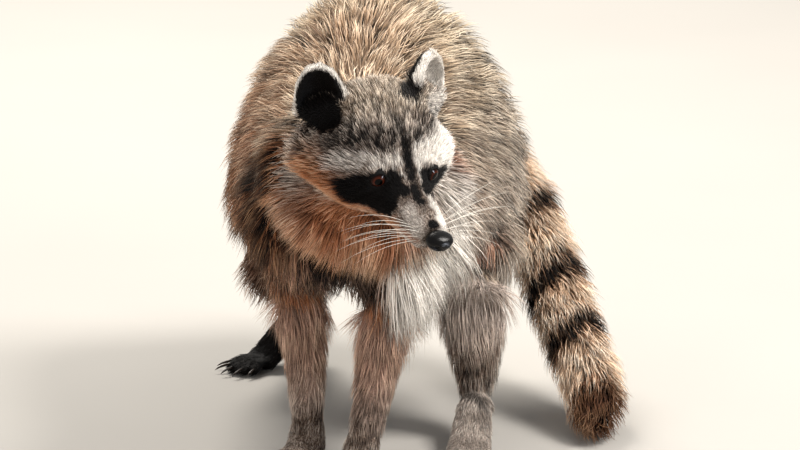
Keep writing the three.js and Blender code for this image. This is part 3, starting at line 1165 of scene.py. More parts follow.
@dataclass
class Skin:
    """The raccoon's skin in one piece, inside the solids by the depth of the coat, in mm."""

    core_voxel: float = 3.0
    fine_voxel: float = 2.1
    swell: float = 0.55
    blend: int = 60
    slim: float = 0.62
    ear_hollow: float = 7.5
    paw_depth: float = 1.2
    ear_depth: float = 0.3
    plug_reach: float = 3.5
    plug_depth: float = 0.3
    ankle_reach: Pair = (26.0, 14.0)
    ankle_share: float = 0.86
    eye_dome: float = 1.0
    eye_reach: float = 13.0
    surface: Surface = field(init=False)
    obj: Object = field(init=False)

    def build(self) -> None:
        """Makes the skin: a core sunk under the coat, then paws, ears, lids and mouth."""
        mesh = voxelled(self.joined(self.core()), self.fine_voxel * MM, "skin")
        self.refine(mesh)
        self.surface = surface = Surface(mesh)
        surface.relax(3, 0.35 + 0.65 * ease(18.0, 45.0, BODY.local(surface.co)[:, 2]))
        height = BODY.local(surface.co)[:, 2]
        surface.relax(14, ease(20.0, 30.0, height) * ease(190.0, 160.0, height), keep=True)
        self.open_lids()
        Mouth().press(surface)
        surface.write()
        mesh.shade_smooth()
        self.obj = add_object("skin", mesh)
        self.unwrap()
        LOG.info("skin: %d vertices", surface.count)

    def depth(self, core: Surface, regions: dict[str, Array], face: Array) -> Array:
        """Works out how deep the skin lies under the coat.

        Args:
            core: the surface of the solids.
            regions: how far each of its vertices belongs to each region.
            face: how far each belongs to the face.

        Returns:
            The depth at each vertex, in mm.
        """
        head = HEAD.local(core.co)
        depth = sum(regions[k] * PELTS[k].depth for k in regions if k != "head")
        depth = depth + regions["head"] * HEAD_PELT.depth(head)
        depth = core.spread(depth, 8) * face + core.spread(depth, self.blend) * (1 - face)
        depth = depth + self.ear_hollow * cover(EAR_HOLLOW, mirrored(head)) * core.spread(regions["head"], 3)
        low = core.spread(sum(regions[k] for k in LOW_PARTS), 8)
        return depth * (1 - self.slim * low * ease(*LOWER_LEG, BODY.local(core.co)[:, 2]))

    def core(self) -> Mesh:
        """Makes the body's core without ears or eyes, smoothed where limbs meet.

        Returns:
            The core.
        """
        names = CORE_NODES + PAW_NODES
        bm = bmesh.new()
        join_nodes(bm, names, self.swell)
        core = Surface(voxelled(bm, self.core_voxel * MM, "core"))
        core.relax(2)
        regions = region_table(nearest_nodes(core.co, names), names)
        face = core.spread(regions["head"] + regions["lower_jaw"], 6)
        face = face * ease(*FACE_END, HEAD.local(core.co)[:, 1])
        limbs = core.spread(sum(regions[k] for k in LEG_PARTS if k not in PAWS), 12)
        core.sink((self.depth(core, regions, face) + self.swell) * MM)
        core.relax(16, 1 - face, keep=True)
        core.relax(60, limbs * (1 - face), keep=True)
        for upper, lower in (("thigh", "shank"), ("upper_foreleg", "forearm")):
            seam = 4 * core.spread(regions[upper], 25) * core.spread(regions[lower], 25)
            core.relax(50, np.clip(seam, 0, 1))
        core.write()
        LOG.info("core: %d vertices", core.count)
        return core.mesh

    def joined(self, core: Mesh) -> BMesh:
        """Joins paws, ears and the domes of the eyes to the core.

        Args:
            core: the core. It is removed.

        Returns:
            All of them, still overlapping.
        """
        bm = bmesh.new()
        bm.from_mesh(core)
        bpy.data.meshes.remove(core)
        join_nodes(bm, PAW_NODES, -self.paw_depth)
        join_nodes(bm, EAR_NODES, -self.ear_depth)
        for name in EAR_NODES:
            base = points_near(name, "head", self.plug_reach)
            inner = base + (node_points("head").mean(0) - base) * self.plug_depth
            add_hull(bm, np.concatenate([base, inner]))
        for paw in PAW_NODES:
            leg = paw.replace(region_of(paw), LEG_ABOVE[region_of(paw)])
            ends = np.concatenate([points_near(leg, paw, self.ankle_reach[0]),
                                   points_near(paw, leg, self.ankle_reach[1])])
            add_hull(bm, ends.mean(0) + (ends - ends.mean(0)) * self.ankle_share)
        for sign in SIDES.values():
            place = Matrix.Translation(Vector(HEAD.eye_centre(sign)))
            radius = (HEAD.eye_radius + self.eye_dome) * MM
            bmesh.ops.create_icosphere(bm, subdivisions=4, radius=radius, matrix=place)
        return bm

    def refine(self, mesh: Mesh) -> None:
        """Divides the faces of the muzzle more finely, and those round the eyes once more.

        Args:
            mesh: the skin.
        """
        def on_muzzle(centres: Array) -> Array:
            """Which faces belong to the front of the head."""
            x, y, z = HEAD.local(centres).T
            return (y < 22) & (np.abs(x) < 46) & (z > -52)

        def by_eye(centres: Array) -> Array:
            """Which faces lie round an eye."""
            away = [np.linalg.norm(centres - HEAD.eye_centre(sign), axis=1) for sign in SIDES.values()]
            return np.min(away, axis=0) < self.eye_reach * MM

        for choose in (on_muzzle, by_eye):
            bm = bmesh.new()
            bm.from_mesh(mesh)
            bm.faces.ensure_lookup_table()
            chosen = choose(np.array([f.calc_center_median()[:] for f in bm.faces]))
            edges = {e for i in np.flatnonzero(chosen) for e in bm.faces[i].edges}
            bmesh.ops.subdivide_edges(bm, edges=list(edges), cuts=1, use_grid_fill=True, smooth=0.0)
            bmesh.ops.triangulate(bm, faces=[f for f in bm.faces if len(f.verts) > 4])
            bm.to_mesh(mesh)
            bm.free()

    def open_lids(self) -> None:
        """Draws the skin round each eye into lids, and sinks what lies between them."""
        surface = self.surface
        for sign in SIDES.values():
            local, across, up = HEAD.from_eye(sign, surface.co)
            away = np.linalg.norm(local, axis=1)
            near = (away < LIDS.reach) & (local[:, 1] < 3.0)
            openness = LIDS.openness(across, up)
            inside = ease(0.97, 1.1, openness)
            rim = HEAD.eye_radius + LIDS.thick
            target = rim - (LIDS.thick + LIDS.sunk) * inside
            hold = ease(LIDS.reach, LIDS.hold, away) * ease(0.25, 0.75, np.minimum(openness, 1.0))
            moved = away + (target - away) * np.maximum(hold, inside)
            factor = np.where(near, moved / np.maximum(away, 1e-6), 1.0)
            centre = HEAD.eye_centre(sign)
            surface.co = centre + (surface.co - centre) * factor[:, None]

    def unwrap(self) -> None:
        """Unwraps the skin over its own shape."""
        self.obj.data.uv_layers.new(name=UV_NAME)
        bpy.context.view_layer.objects.active = self.obj
        self.obj.select_set(True)
        bpy.ops.object.mode_set(mode="EDIT")
        bpy.ops.mesh.select_all(action="SELECT")
        bpy.ops.uv.smart_project(angle_limit=math.radians(66), island_margin=0.002)
        bpy.ops.object.mode_set(mode="OBJECT")

    def dress(self, lie: "Lie", material: Material) -> None:
        """Marks the skin like the coat and stands it in for the solids.

        Args:
            lie: the lie of the coat on the skin.
            material: the skin's finish.
        """
        mesh = self.obj.data
        shades = Markings(Site(self.surface.co, lie.normals, lie.weights)).columns
        add_layer(mesh, "Marking", shades)
        mesh.materials.append(material)
        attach(self.obj, ROOT)
        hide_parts(*FLESH_NODES)


# ---- the lie of the coat

@dataclass
class Lie:
    """For each vertex of the skin: the way the hair lies, its length and width, and the coat's depth."""

    skin: Skin
    blend: int = 70
    feather: float = 1.3
    low_depth: float = 0.35
    toe_trim: float = 0.5
    flow: Array = field(init=False)
    depth: Array = field(init=False)
    length: Array = field(init=False)
    width: Array = field(init=False)
    weights: dict[str, Array] = field(init=False)
    normals: Array = field(init=False)

    def build(self) -> None:
        """Works out the lie over the whole skin."""
        surface = self.skin.surface
        owner = nearest_nodes(surface.co, FLESH_NODES)
        regions = region_table(owner, FLESH_NODES)
        self.weights = surface.blended(regions, 5)
        self.normals = unit(surface.spread(surface.normals(), 2))
        self.measure(regions)
        self.comb(owner)
        LOG.info("lie of the coat: laid")

    def measure(self, regions: dict[str, Array]) -> None:
        """Works out the coat's depth, length and width.

        Args:
            regions: how far each vertex belongs to each region, with hard borders.
        """
        surface, weights = self.skin.surface, self.weights
        head, body = HEAD.local(surface.co), BODY.local(surface.co)
        face = surface.spread(regions["head"] + regions["lower_jaw"], 8) * ease(*FACE_END, head[:, 1])
        near = surface.spread(np.stack([
            sum(regions[k] * getattr(PELTS[k], name) for k in regions if k != "head")
            + regions["head"] * getattr(HEAD_PELT, name)(head) for name in ("depth", "length", "width")
        ], 1), 10)
        far = surface.spread(near, self.blend)
        close = np.clip(face + weights["ear"], 0, 1)[:, None]
        self.depth, self.length, self.width = (near * close + far * (1 - close)).T
        legs = weights["forearm"] + weights["shank"] * ease(-60.0, -10.0, body[:, 0])
        fuller = 1 + legs * self.feather * ease(45.0, 150.0, body[:, 2])
        low = sum(weights[k] for k in LOW_PARTS) * ease(*LOWER_LEG, body[:, 2])
        toes = sum(weights[k] for k in PAWS) * ease(34.0, 14.0, body[:, 2])
        self.length = self.length * (0.4 + 0.6 * fuller) * (1 - self.toe_trim * toes)
        self.depth = self.depth * fuller * (1 - self.low_depth * low)

    def comb(self, owner: Array) -> None:
        """Lays the hair along the body and evens out the way it lies.

        Args:
            owner: for each vertex, the index of its node.
        """
        surface = self.skin.surface
        flow = np.zeros((surface.count, 3))
        for index, node in enumerate(FLESH_NODES):
            chosen = owner == index
            flow[chosen] = self.way(node, surface.co[chosen], self.normals[chosen])
        flow = self.tangent(flow)
        for _ in range(5):
            flow = self.tangent(surface.spread(flow, 6))
        self.flow = flow

    def tangent(self, flow: Array) -> Array:
        """Directions laid flat on the skin."""
        return unit(flow - (flow * self.normals).sum(1, keepdims=True) * self.normals)

    def way(self, node: str, points: Array, normals: Array) -> Array:
        """Works out the way in which hair grows, before it is laid flat on the skin.

        Args:
            node: the CAD node under the hair.
            points: places on it, in metres.
            normals: the way out of the skin at each.

        Returns:
            A direction for each place.
        """
        region = region_of(node)
        side = np.sign(normals[:, :1])
        from_nose = HEAD.way(unit(HEAD.local(points) - np.array(HEAD.nose_tip)))
        if region in ("head", "lower_jaw"):
            local = HEAD.local(points)
            sag = ease(20.0, 60.0, np.abs(local[:, 0])) * ease(5.0, 40.0, local[:, 1])
            return from_nose + sag[:, None] * np.array([0.0, 0.0, -0.55])
        if region == "ear":
            return np.tile(HEAD.way(np.array([0.0, 0.25, 1.0])), (len(points), 1))
        if region.startswith("tail"):
            return TAIL.nearest(points)[1]
        if region == "trunk":
            front = ease(0.15, 0.75, -normals[:, 1])[:, None]
            back = np.array([0.0, 0.9, -0.12]) + np.abs(normals[:, :1]) * np.array([0.0, 0.0, -0.75])
            down = np.array([0.0, 0.05, -1.0]) + side * np.array([0.25, 0.0, 0.0])
            return back * (1 - front) + down * front
        if region == "neck":
            return from_nose + np.array([0.0, 0.0, -0.7])
        middle = node_points(node).mean(0)
        if region in PAWS:
            claws = np.concatenate([node_points(claw) for claw in claw_nodes(node)])
            axis = unit(claws.mean(0) - middle) + np.array([0.0, 0.0, -0.3])
        else:
            below = node_points(node.replace(region, LEG_BELOW[region])).mean(0)
            axis = unit(below - middle) + np.array([0.0, 0.25, -0.35])
        return axis + 0.1 * side * np.array([1.0, 0.0, 0.0])


# ---- locks

@dataclass(frozen=True)
class LockMesh:
    """One lock as arrays: offsets across it, stations along it, and its faces as corners and sizes."""

    cross: Array
    along: Array
    corners: Array
    sizes: Array


@dataclass(frozen=True)
class Lock:
    """The one lock that every tuft copies: a needle of few sides, closed at both ends."""

    rings: int = 3
    sides: int = 3
    fall: float = 1.6

    @cached_property
    def mesh(self) -> LockMesh:
        """Draws the lock from a disc, ring by ring, to its tip.

        Returns:
            The lock, one unit long and two units wide at its root.
        """
        bm = bmesh.new()
        ring = bmesh.ops.create_circle(bm, cap_ends=True, segments=self.sides, radius=1.0)["verts"]
        face = bm.faces[:][0]
        for step in range(1, self.rings + 1):
            share = step / self.rings
            face = bmesh.ops.extrude_discrete_faces(bm, faces=[face])["faces"][0]
            ring = list(face.verts)
            now = max(1.0 - share ** self.fall, 0.0)
            before = max(1.0 - (share - 1 / self.rings) ** self.fall, 1e-6)
            bmesh.ops.scale(bm, vec=(now / before, now / before, 1.0), verts=ring)
            bmesh.ops.translate(bm, vec=(0.0, 0.0, 1 / self.rings), verts=ring)
        bmesh.ops.pointmerge(bm, verts=ring, merge_co=(0.0, 0.0, 1.0))
        bmesh.ops.recalc_face_normals(bm, faces=bm.faces)
        bm.verts.index_update()
        points = np.array([v.co[:] for v in bm.verts])
        corners = np.array([v.index for f in bm.faces for v in f.verts], np.int32)
        sizes = np.array([len(f.verts) for f in bm.faces], np.int32)
        bm.free()
        return LockMesh(points[:, :2], points[:, 2], corners, sizes)

    @property
    def stations(self) -> Array:
        """For each vertex of the lock, the number of its ring."""
        return np.rint(self.mesh.along * self.rings).astype(int)

    @property
    def triangles(self) -> int:
        """How many triangles one lock has."""
        return int((self.mesh.sizes - 2).sum())


@dataclass
class Roots:
    """Where locks grow, and all that shapes each one. Lengths are in metres."""

    place: Array
    normal: Array
    flow: Array
    depth: Array
    length: Array
    width: Array
    uv: Array
    weights: dict[str, Array]


@dataclass(frozen=True)
class Growth:
    """How a kind of coat grows: how its locks bunch, stray, stand and hang."""

    bunch: float = 0.55
    bunch_size: int = 9
    stray: float = 9.0
    wander: float = 10.0
    wander_length: float = 42.0
    stand: Pair = (0.45, 1.0)
    droop: float = 0.0
    lengths: Pair = (0.72, 1.12)
    widths: Pair = (0.7, 1.25)
    pulls: Pair = (0.5, 1.1)
    steepest: float = 0.86
    least_reach: float = 0.3
    root_sunk: float = 0.8
    rise_curve: float = 1.8
    bunch_curve: float = 1.6
    twist: float = 0.35
    thin: float = 0.55
    lock: Lock = Lock()


@dataclass
class CoatPlan:
    """One coat: its regions, how many locks it has, its slot and finish, and how they grow."""

    name: str
    regions: tuple[str, ...]
    count: int
    slot: str
    finish: str
    growth: Growth
    patch: tuple[Stroke, ...] = ()
    longer: float = 1.0
    wider: float = 1.0


@dataclass
class Locks:
    """Grown locks, with one row for each in every table."""

    points: Array
    shades: Array
    lot: Array
    layer: Array
    uv: Array

    def part(self, rows: slice) -> "Locks":
        """Some of the locks."""
        return Locks(self.points[rows], self.shades[rows], self.lot[rows], self.layer[rows], self.uv[rows])


class Sampler:
    """Picks places for locks, evenly over the skin."""

    def __init__(self, skin: Skin, lie: Lie) -> None:
        """Keeps the skin and reads its unwrap.

        Args:
            skin: the finished skin.
            lie: the coat's lie on it.
        """
        self.surface, self.lie = skin.surface, lie
        mesh = skin.obj.data
        mesh.calc_loop_triangles()
        self.triangles = read(mesh.loop_triangles, "vertices", 3, np.int32)
        loops = read(mesh.loop_triangles, "loops", 3, np.int32)
        self.uv = read(mesh.uv_layers[UV_NAME].uv, "vector", 2)[loops]
        a, b, c = (self.surface.co[self.triangles[:, i]] for i in range(3))
        self.area = np.linalg.norm(np.cross(b - a, c - a), axis=1) / 2
        self.bare = self.find_bare(self.surface.co)

    def find_bare(self, points: Array) -> Array:
        """Finds where no lock grows: between the lids, under the nose pad and on the soles.

        Args:
            points: places on the skin, in metres.

        Returns:
            How bare each is, from 0 to 1.
        """
        out = ease(2.2, 1.2, points[:, 2] / MM)
        for sign in SIDES.values():
            local, across, up = HEAD.from_eye(sign, points)
            near = np.linalg.norm(local, axis=1) < LIDS.reach + 0.5
            out = np.maximum(out, near * ease(0.62, 0.8, LIDS.openness(across, up)))
        nose = (HEAD.local(points) - np.array(Nose().middle)) / (np.array(Nose().half) + 0.6)
        return np.maximum(out, ease(1.08, 0.98, np.linalg.norm(nose, axis=1)))

    def share(self, plan: CoatPlan) -> Array:
        """Works out how thickly the locks of a coat stand.

        Args:
            plan: the coat.

        Returns:
            The thickness at each vertex of the skin, from 0.
        """
        share = sum(self.lie.weights[k] for k in plan.regions) * (1 - self.bare)
        share = share / np.maximum(self.lie.width, 0.4) ** 1.2
        share[share < 0.05] = 0.0
        return share * cover(plan.patch, BODY.local(self.surface.co)) if plan.patch else share

    def pick(self, plan: CoatPlan, seed: int) -> Roots:
        """Picks roots for the locks of a coat.

        Args:
            plan: the coat.
            seed: picks the places.

        Returns:
            The roots.
        """
        random = np.random.default_rng(seed)
        total = np.cumsum(self.area * self.share(plan)[self.triangles].mean(1))
        marks = (np.arange(plan.count) + random.uniform(0, 1, plan.count)) / plan.count * total[-1]
        chosen = np.searchsorted(total, marks).clip(0, len(total) - 1)
        u, v = random.uniform(0, 1, (2, plan.count))
        fold = u + v > 1
        u, v = np.where(fold, 1 - u, u), np.where(fold, 1 - v, v)
        shares = np.stack([1 - u - v, u, v], 1)
        corners = self.triangles[chosen]

        def mix(values: Array) -> Array:
            """Values of the vertices, read at the roots."""
            parts = values[corners]
            return (parts * shares.reshape(shares.shape + (1,) * (parts.ndim - 2))).sum(1)

        lie = self.lie
        return Roots(
            mix(self.surface.co), unit(mix(lie.normals)), unit(mix(lie.flow)), mix(lie.depth) * MM,
            mix(lie.length) * MM * plan.longer, mix(lie.width) * MM * plan.wider,
            (self.uv[chosen] * shares[:, :, None]).sum(1), {k: mix(w) for k, w in lie.weights.items()},
        )


class Coat:
    """Grows one coat's locks as solid mesh, in pieces under the limit of triangles."""

    limit = 190000
    patch = 0.0014

    def __init__(self, plan: CoatPlan, number: int) -> None:
        """Takes up a plan.

        Args:
            plan: what to grow.
            number: the coat's place in the list of coats, which sets its seeds.
        """
        self.plan, self.growth, self.lock = plan, plan.growth, plan.growth.lock
        self.place_seed, self.seed = SEED + number, SEED + 50 + number

    def bunches(self, place: Array, random: np.random.Generator) -> Array:
        """Gathers locks into bunches.

        Args:
            place: the roots.
            random: draws the leaders.

        Returns:
            For each lock, the index of the lock that its bunch leans to.
        """
        many = max(len(place) // self.growth.bunch_size, 1)
        leaders = np.sort(random.choice(len(place), many, replace=False))
        return nearest_of(place, place, leaders)

    def lines(self, roots: Roots, leader: Array, random: np.random.Generator) -> tuple[Array, Array]:
        """Draws the middle line of each lock.

        Args:
            roots: where the locks grow.
            leader: for each lock, the index of the lock that it leans to.
            random: draws the turns, lengths, heights and pulls.

        Returns:
            The places from each root to its tip, and how far each lock stands up, from 0 to 1.
        """
        grow, many = self.growth, len(roots.place)
        angle = np.radians(grow.wander * ripple(roots.place / MM, grow.wander_length, self.seed)
                           + grow.stray * random.normal(size=many))
        across = np.cross(roots.normal, roots.flow)
        way = roots.flow * np.cos(angle)[:, None] + across * np.sin(angle)[:, None]
        length = roots.length * random.uniform(*grow.lengths, many)
        stand = random.uniform(*grow.stand, many)
        height = np.minimum(roots.depth * stand, grow.steepest * length)
        reach = np.sqrt(np.maximum(length ** 2 - height ** 2, (grow.least_reach * length) ** 2))
        tip = roots.place + way * reach[:, None] + roots.normal * height[:, None]
        pull = (tip[leader] - tip) * (grow.bunch * random.uniform(*grow.pulls, many))[:, None]
        pull *= np.minimum(1.0, 0.5 * length / np.maximum(np.linalg.norm(pull, axis=1), 1e-6))[:, None]
        s = np.linspace(0.0, 1.0, self.lock.rings + 1)[None, :, None]
        sunk = grow.root_sunk * MM
        base = roots.place - roots.normal * sunk
        line = (base[:, None] + way[:, None] * reach[:, None, None] * s
                + roots.normal[:, None] * (height[:, None, None] + sunk) * (1 - (1 - s) ** grow.rise_curve)
                + pull[:, None] * s ** grow.bunch_curve)
        line[:, :, 2] -= (grow.droop * length)[:, None] * s[0, :, 0] ** 2
        return line, (stand - grow.stand[0]) / (grow.stand[1] - grow.stand[0])

    def locks(self, roots: Roots) -> Locks:
        """Grows every lock.

        Args:
            roots: where the locks grow.

        Returns:
            The locks, with their shades.
        """
        random, shape, many = np.random.default_rng(self.seed), self.lock.mesh, len(roots.place)
        leader = self.bunches(roots.place, random)
        line, layer = self.lines(roots, leader, random)
        index = self.lock.stations
        tangent = unit(np.gradient(line, axis=1))
        across = np.cross(roots.normal[:, None], tangent)
        across = unit(across + self.growth.twist * roots.normal[:, None] * random.normal(size=(many, 1, 1)))
        over = np.cross(tangent, across)
        half = (roots.width * random.uniform(*self.growth.widths, many) / 2)[:, None, None]
        points = (line[:, index] + across[:, index] * half * shape.cross[None, :, :1]
                  + over[:, index] * half * self.growth.thin * shape.cross[None, :, 1:])
        points[:, :, 2] = np.maximum(points[:, :, 2], 0.25 * MM + 0.1 * MM * shape.along[None, :])
        middle = line[:, self.lock.rings // 2 + 1]
        middle = middle + random.normal(size=(many, 3)) * 0.07 * roots.length[:, None]
        shades = Markings(Site(middle, roots.normal, roots.weights)).columns
        chance = random.uniform(0, 1, many)
        lot = np.argsort(np.argsort(chance + 0.9 * chance[leader])) / many
        return Locks(points, shades, lot, layer, roots.uv)

    def grow(self, sampler: Sampler, material: Material) -> None:
        """Grows the coat over the skin and joins its locks into pieces.

        Args:
            sampler: picks where the locks grow.
            material: the coat's finish.
        """
        locks = self.locks(sampler.pick(self.plan, self.place_seed))
        many, per_piece = len(locks.points), self.limit // self.lock.triangles
        for number, start in enumerate(range(0, many, per_piece)):
            name = self.plan.name if many <= per_piece else f"{self.plan.name}_{number + 1}"
            obj = add_object(name, self.joined(name, locks.part(slice(start, start + per_piece))))
            obj.data.materials.append(material)
            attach(obj, ROOT)
        LOG.info("%s: %d locks, %d triangles", self.plan.name, many, many * self.lock.triangles)

    def joined(self, name: str, locks: Locks) -> Mesh:
        """Joins locks into one mesh, with their shades and their unwrap.

        Args:
            name: the mesh's name.
            locks: the locks.

        Returns:
            The mesh.
        """
        shape = self.lock.mesh
        many, each = locks.points.shape[:2]
        mesh = bpy.data.meshes.new(name)
        mesh.vertices.add(many * each)
        mesh.vertices.foreach_set("co", locks.points.astype(np.float32).ravel())
        loops = (shape.corners[None, :] + each * np.arange(many)[:, None]).astype(np.int32)
        mesh.loops.add(loops.size)
        mesh.loops.foreach_set("vertex_index", loops.ravel())
        starts = np.r_[0, np.cumsum(np.tile(shape.sizes, many))[:-1]].astype(np.int32)
        mesh.polygons.add(len(starts))
        mesh.polygons.foreach_set("loop_start", starts)
        mesh.update(calc_edges=True)
        mesh.shade_smooth()
        add_layer(mesh, "Marking", np.repeat(locks.shades, each, axis=0))
        strand = [np.tile(shape.along, many), np.repeat(locks.lot, each), np.repeat(locks.layer, each)]
        add_layer(mesh, "Strand", np.stack(strand, 1))
        unwrap = mesh.uv_layers.new(name=UV_NAME)
        local = np.stack([shape.cross[:, 0], 2 * shape.along - 1], 1)[shape.corners] * self.patch
        spots = locks.uv[:, None, :] + local[None]
        unwrap.uv.foreach_set("vector", spots.astype(np.float32).ravel())
        return mesh


# ---- finishes

class Desk:
    """Lays out the nodes of one material or node group."""

    def __init__(self, tree: NodeTree) -> None:
        """Starts on an empty tree.

        Args:
            tree: the tree to fill.
        """
        self.tree = tree
        tree.nodes.clear()

    def feed(self, entry: NodeSocket, value: object) -> None:
        """Sets an input.

        Args:
            entry: the input.
            value: a value, or the socket that feeds it.
        """
        if isinstance(value, NodeSocket):
            self.tree.links.new(value, entry)
        else:
            entry.default_value = value

    def add(self, kind: str, inputs: dict[str | int, object] | None = None, **settings: object) -> Node:
        """Adds a node.

        Args:
            kind: the node's type.
            inputs: for each input, a value, or the socket that feeds it.
            settings: the node's own properties.

        Returns:
            The node.
        """
        node = self.tree.nodes.new(kind)
        for key, value in settings.items():
            setattr(node, key, value)
        for key, value in (inputs or {}).items():
            self.feed(node.inputs[key], value)
        return node

    def maths(self, operation: str, *values: object, clamp: bool = True) -> NodeSocket:
        """The result of a sum on values or sockets, kept between 0 and 1 if clamped."""
        node = self.add("ShaderNodeMath", dict(enumerate(values)), operation=operation, use_clamp=clamp)
        return node.outputs[0]

    def span(self, value: object, low: float = 0.0, high: float = 1.0, start: float = 0.0,
             end: float = 1.0) -> NodeSocket:
        """A value that runs from `start` to `end` while the given one runs from `low` to `high`."""
        return self.add("ShaderNodeMapRange", dict(enumerate((value, low, high, start, end)))).outputs[0]

    def noise(self, place: NodeSocket, scale: object, detail: float = 2.0) -> NodeSocket:
        """A soft noise from 0 to 1 at places."""
        return self.add("ShaderNodeTexNoise", {"Vector": place, "Scale": scale, "Detail": detail}).outputs[0]

    def blend(self, factor: object, first: object, second: object) -> NodeSocket:
        """One colour laid over another."""
        inputs = {0: factor, 6: first, 7: second}
        return self.add("ShaderNodeMix", inputs, data_type="RGBA", clamp_factor=True).outputs[2]

    def ramp(self, factor: object, *stops: tuple[float, str]) -> NodeSocket:
        """Runs a colour through stops.

        Args:
            factor: where along the run to read.
            stops: each stop's place and the code of its colour.

        Returns:
            The colour.
        """
        node = self.add("ShaderNodeValToRGB", {0: factor})
        band = node.color_ramp
        while len(band.elements) < len(stops):
            band.elements.new(0.5)
        for element, (place, code) in zip(band.elements, stops):
            element.position, element.color = place, linear(code)
        return node.outputs[0]

    def surface(self, inputs: dict[str, object]) -> None:
        """Ends a material with a surface shader that takes these inputs."""
        shader = self.add("ShaderNodeBsdfPrincipled", inputs)
        self.add("ShaderNodeOutputMaterial", {0: shader.outputs[0]})


def new_material(name: str) -> tuple[Material, Desk]:
    """Starts a material.

    Args:
        name: its name.

    Returns:
        The material and the desk for its nodes.
    """
    material = bpy.data.materials.new(name)
    material.use_nodes = True
    return material, Desk(material.node_tree)


def new_group(name: str, floats: tuple[str, ...], colours: tuple[str, ...],
              outputs: dict[str, str]) -> tuple[Desk, NodeOutputs]:
    """Starts a shader node group.

    Args:
        name: its name.
        floats: the names of the values that it takes.
        colours: the names of the colours that it takes.
        outputs: the names and kinds of what it gives.

    Returns:
        The desk for its nodes and the sockets of what it is given.
    """
    tree = bpy.data.node_groups.new(name, "ShaderNodeTree")
    wanted = [(key, "INPUT", "Float") for key in floats] + [(key, "INPUT", "Color") for key in colours]
    for key, way, kind in wanted + [(key, "OUTPUT", kind) for key, kind in outputs.items()]:
        tree.interface.new_socket(name=key, in_out=way, socket_type=f"NodeSocket{kind}")
    desk = Desk(tree)
    return desk, desk.add("NodeGroupInput").outputs


class Shade(str, Enum):
    """The colours of the coat."""

    ROOT = "#33241a"
    BAND = "#8c7768"
    TIP = "#eaddd0"
    GUARD = "#1f1510"
    WARM_ROOT = "#4a200b"
    WARM = "#b57146"
    WARM_TIP = "#eab98f"
    GOLD = "#b8a385"
    GOLD_TIP = "#f5e6cc"
    PALE_ROOT = "#c2b3a3"
    PALE = "#fffaf3"
    DARK_ROOT = "#030202"
    DARK = "#0c0604"


def pelage_group() -> NodeTree:
    """Makes the colour of hair from its markings, its place along the lock and the lock's own lot, with
    painted shade that darkens the locks that stand lower.

    Returns:
        The node group.
    """
    desk, given = new_group("Pelage", ("Dark", "Pale", "Warm", "Gold", "Along", "Lot", "Layer", "Patch"),
                            ("Root", "Band", "Tip", "Guard"), {"Color": "Color"})
    uneven = desk.maths("MULTIPLY", given["Patch"], 0.22, clamp=False)
    along = desk.maths("ADD", given["Along"], uneven)
    grey = desk.blend(desk.span(along, 0.05, 0.45), given["Root"], given["Band"])
    grey = desk.blend(desk.span(along, 0.4, 0.85), grey, given["Tip"])
    guard = desk.maths("MULTIPLY", desk.span(given["Lot"], 0.34, 0.26), desk.span(along, 0.35, 0.7))
    grey = desk.blend(guard, grey, given["Guard"])
    warm = desk.ramp(along, (0.0, Shade.WARM_ROOT), (0.5, Shade.WARM), (1.0, Shade.WARM_TIP))
    gold = desk.ramp(along, (0.0, Shade.ROOT), (0.45, Shade.GOLD), (0.95, Shade.GOLD_TIP))
    pale = desk.ramp(along, (0.0, Shade.PALE_ROOT), (0.4, Shade.PALE))
    dark = desk.ramp(along, (0.0, Shade.DARK_ROOT), (1.0, Shade.DARK))
    streaked = desk.blend(desk.maths("MULTIPLY", guard, 0.8), gold, given["Guard"])
    colour = grey
    for mark, laid in (("Gold", streaked), ("Warm", warm), ("Pale", pale)):
        colour = desk.blend(given[mark], colour, laid)
    held = desk.maths("MULTIPLY", desk.maths("SUBTRACT", 1.0, given["Dark"]), along, clamp=False)
    depth = desk.maths("MULTIPLY_ADD", given["Dark"], 1.7, -0.04, clamp=False)
    shade = desk.maths("SUBTRACT", depth, desk.maths("MULTIPLY", held, 1.5, clamp=False))
    colour = desk.blend(shade, colour, dark)
    lift = desk.span(given["Lot"], 0.0, 1.0, 0.78, 1.18)
    # painted shade: locks that stand lower are darker, as if shaded by those above them
    under = desk.span(given["Layer"], 0.0, 0.8, 0.5, 1.08)
    light = desk.maths("MULTIPLY", lift, under, clamp=False)
    lit = desk.add("ShaderNodeVectorMath", {0: colour, "Scale": light}, operation="SCALE").outputs[0]
    desk.add("NodeGroupOutput", {0: lit})
    return desk.tree


def grain_group() -> NodeTree:
    """Makes a fine uneven grain as a height, and broad patches from -1 to 1.

    Returns:
        The node group.
    """
    desk, given = new_group("Grain", ("Scale", "Coarse"), (), {"Height": "Float", "Patch": "Float"})
    place = desk.add("ShaderNodeTexCoord").outputs["Object"]
    fine = desk.noise(place, given["Scale"], 3.0)
    coarse = desk.noise(place, given["Coarse"])
    desk.add("NodeGroupOutput", {"Height": fine, "Patch": desk.span(coarse, 0.3, 0.7, -1.0, 1.0)})
    return desk.tree


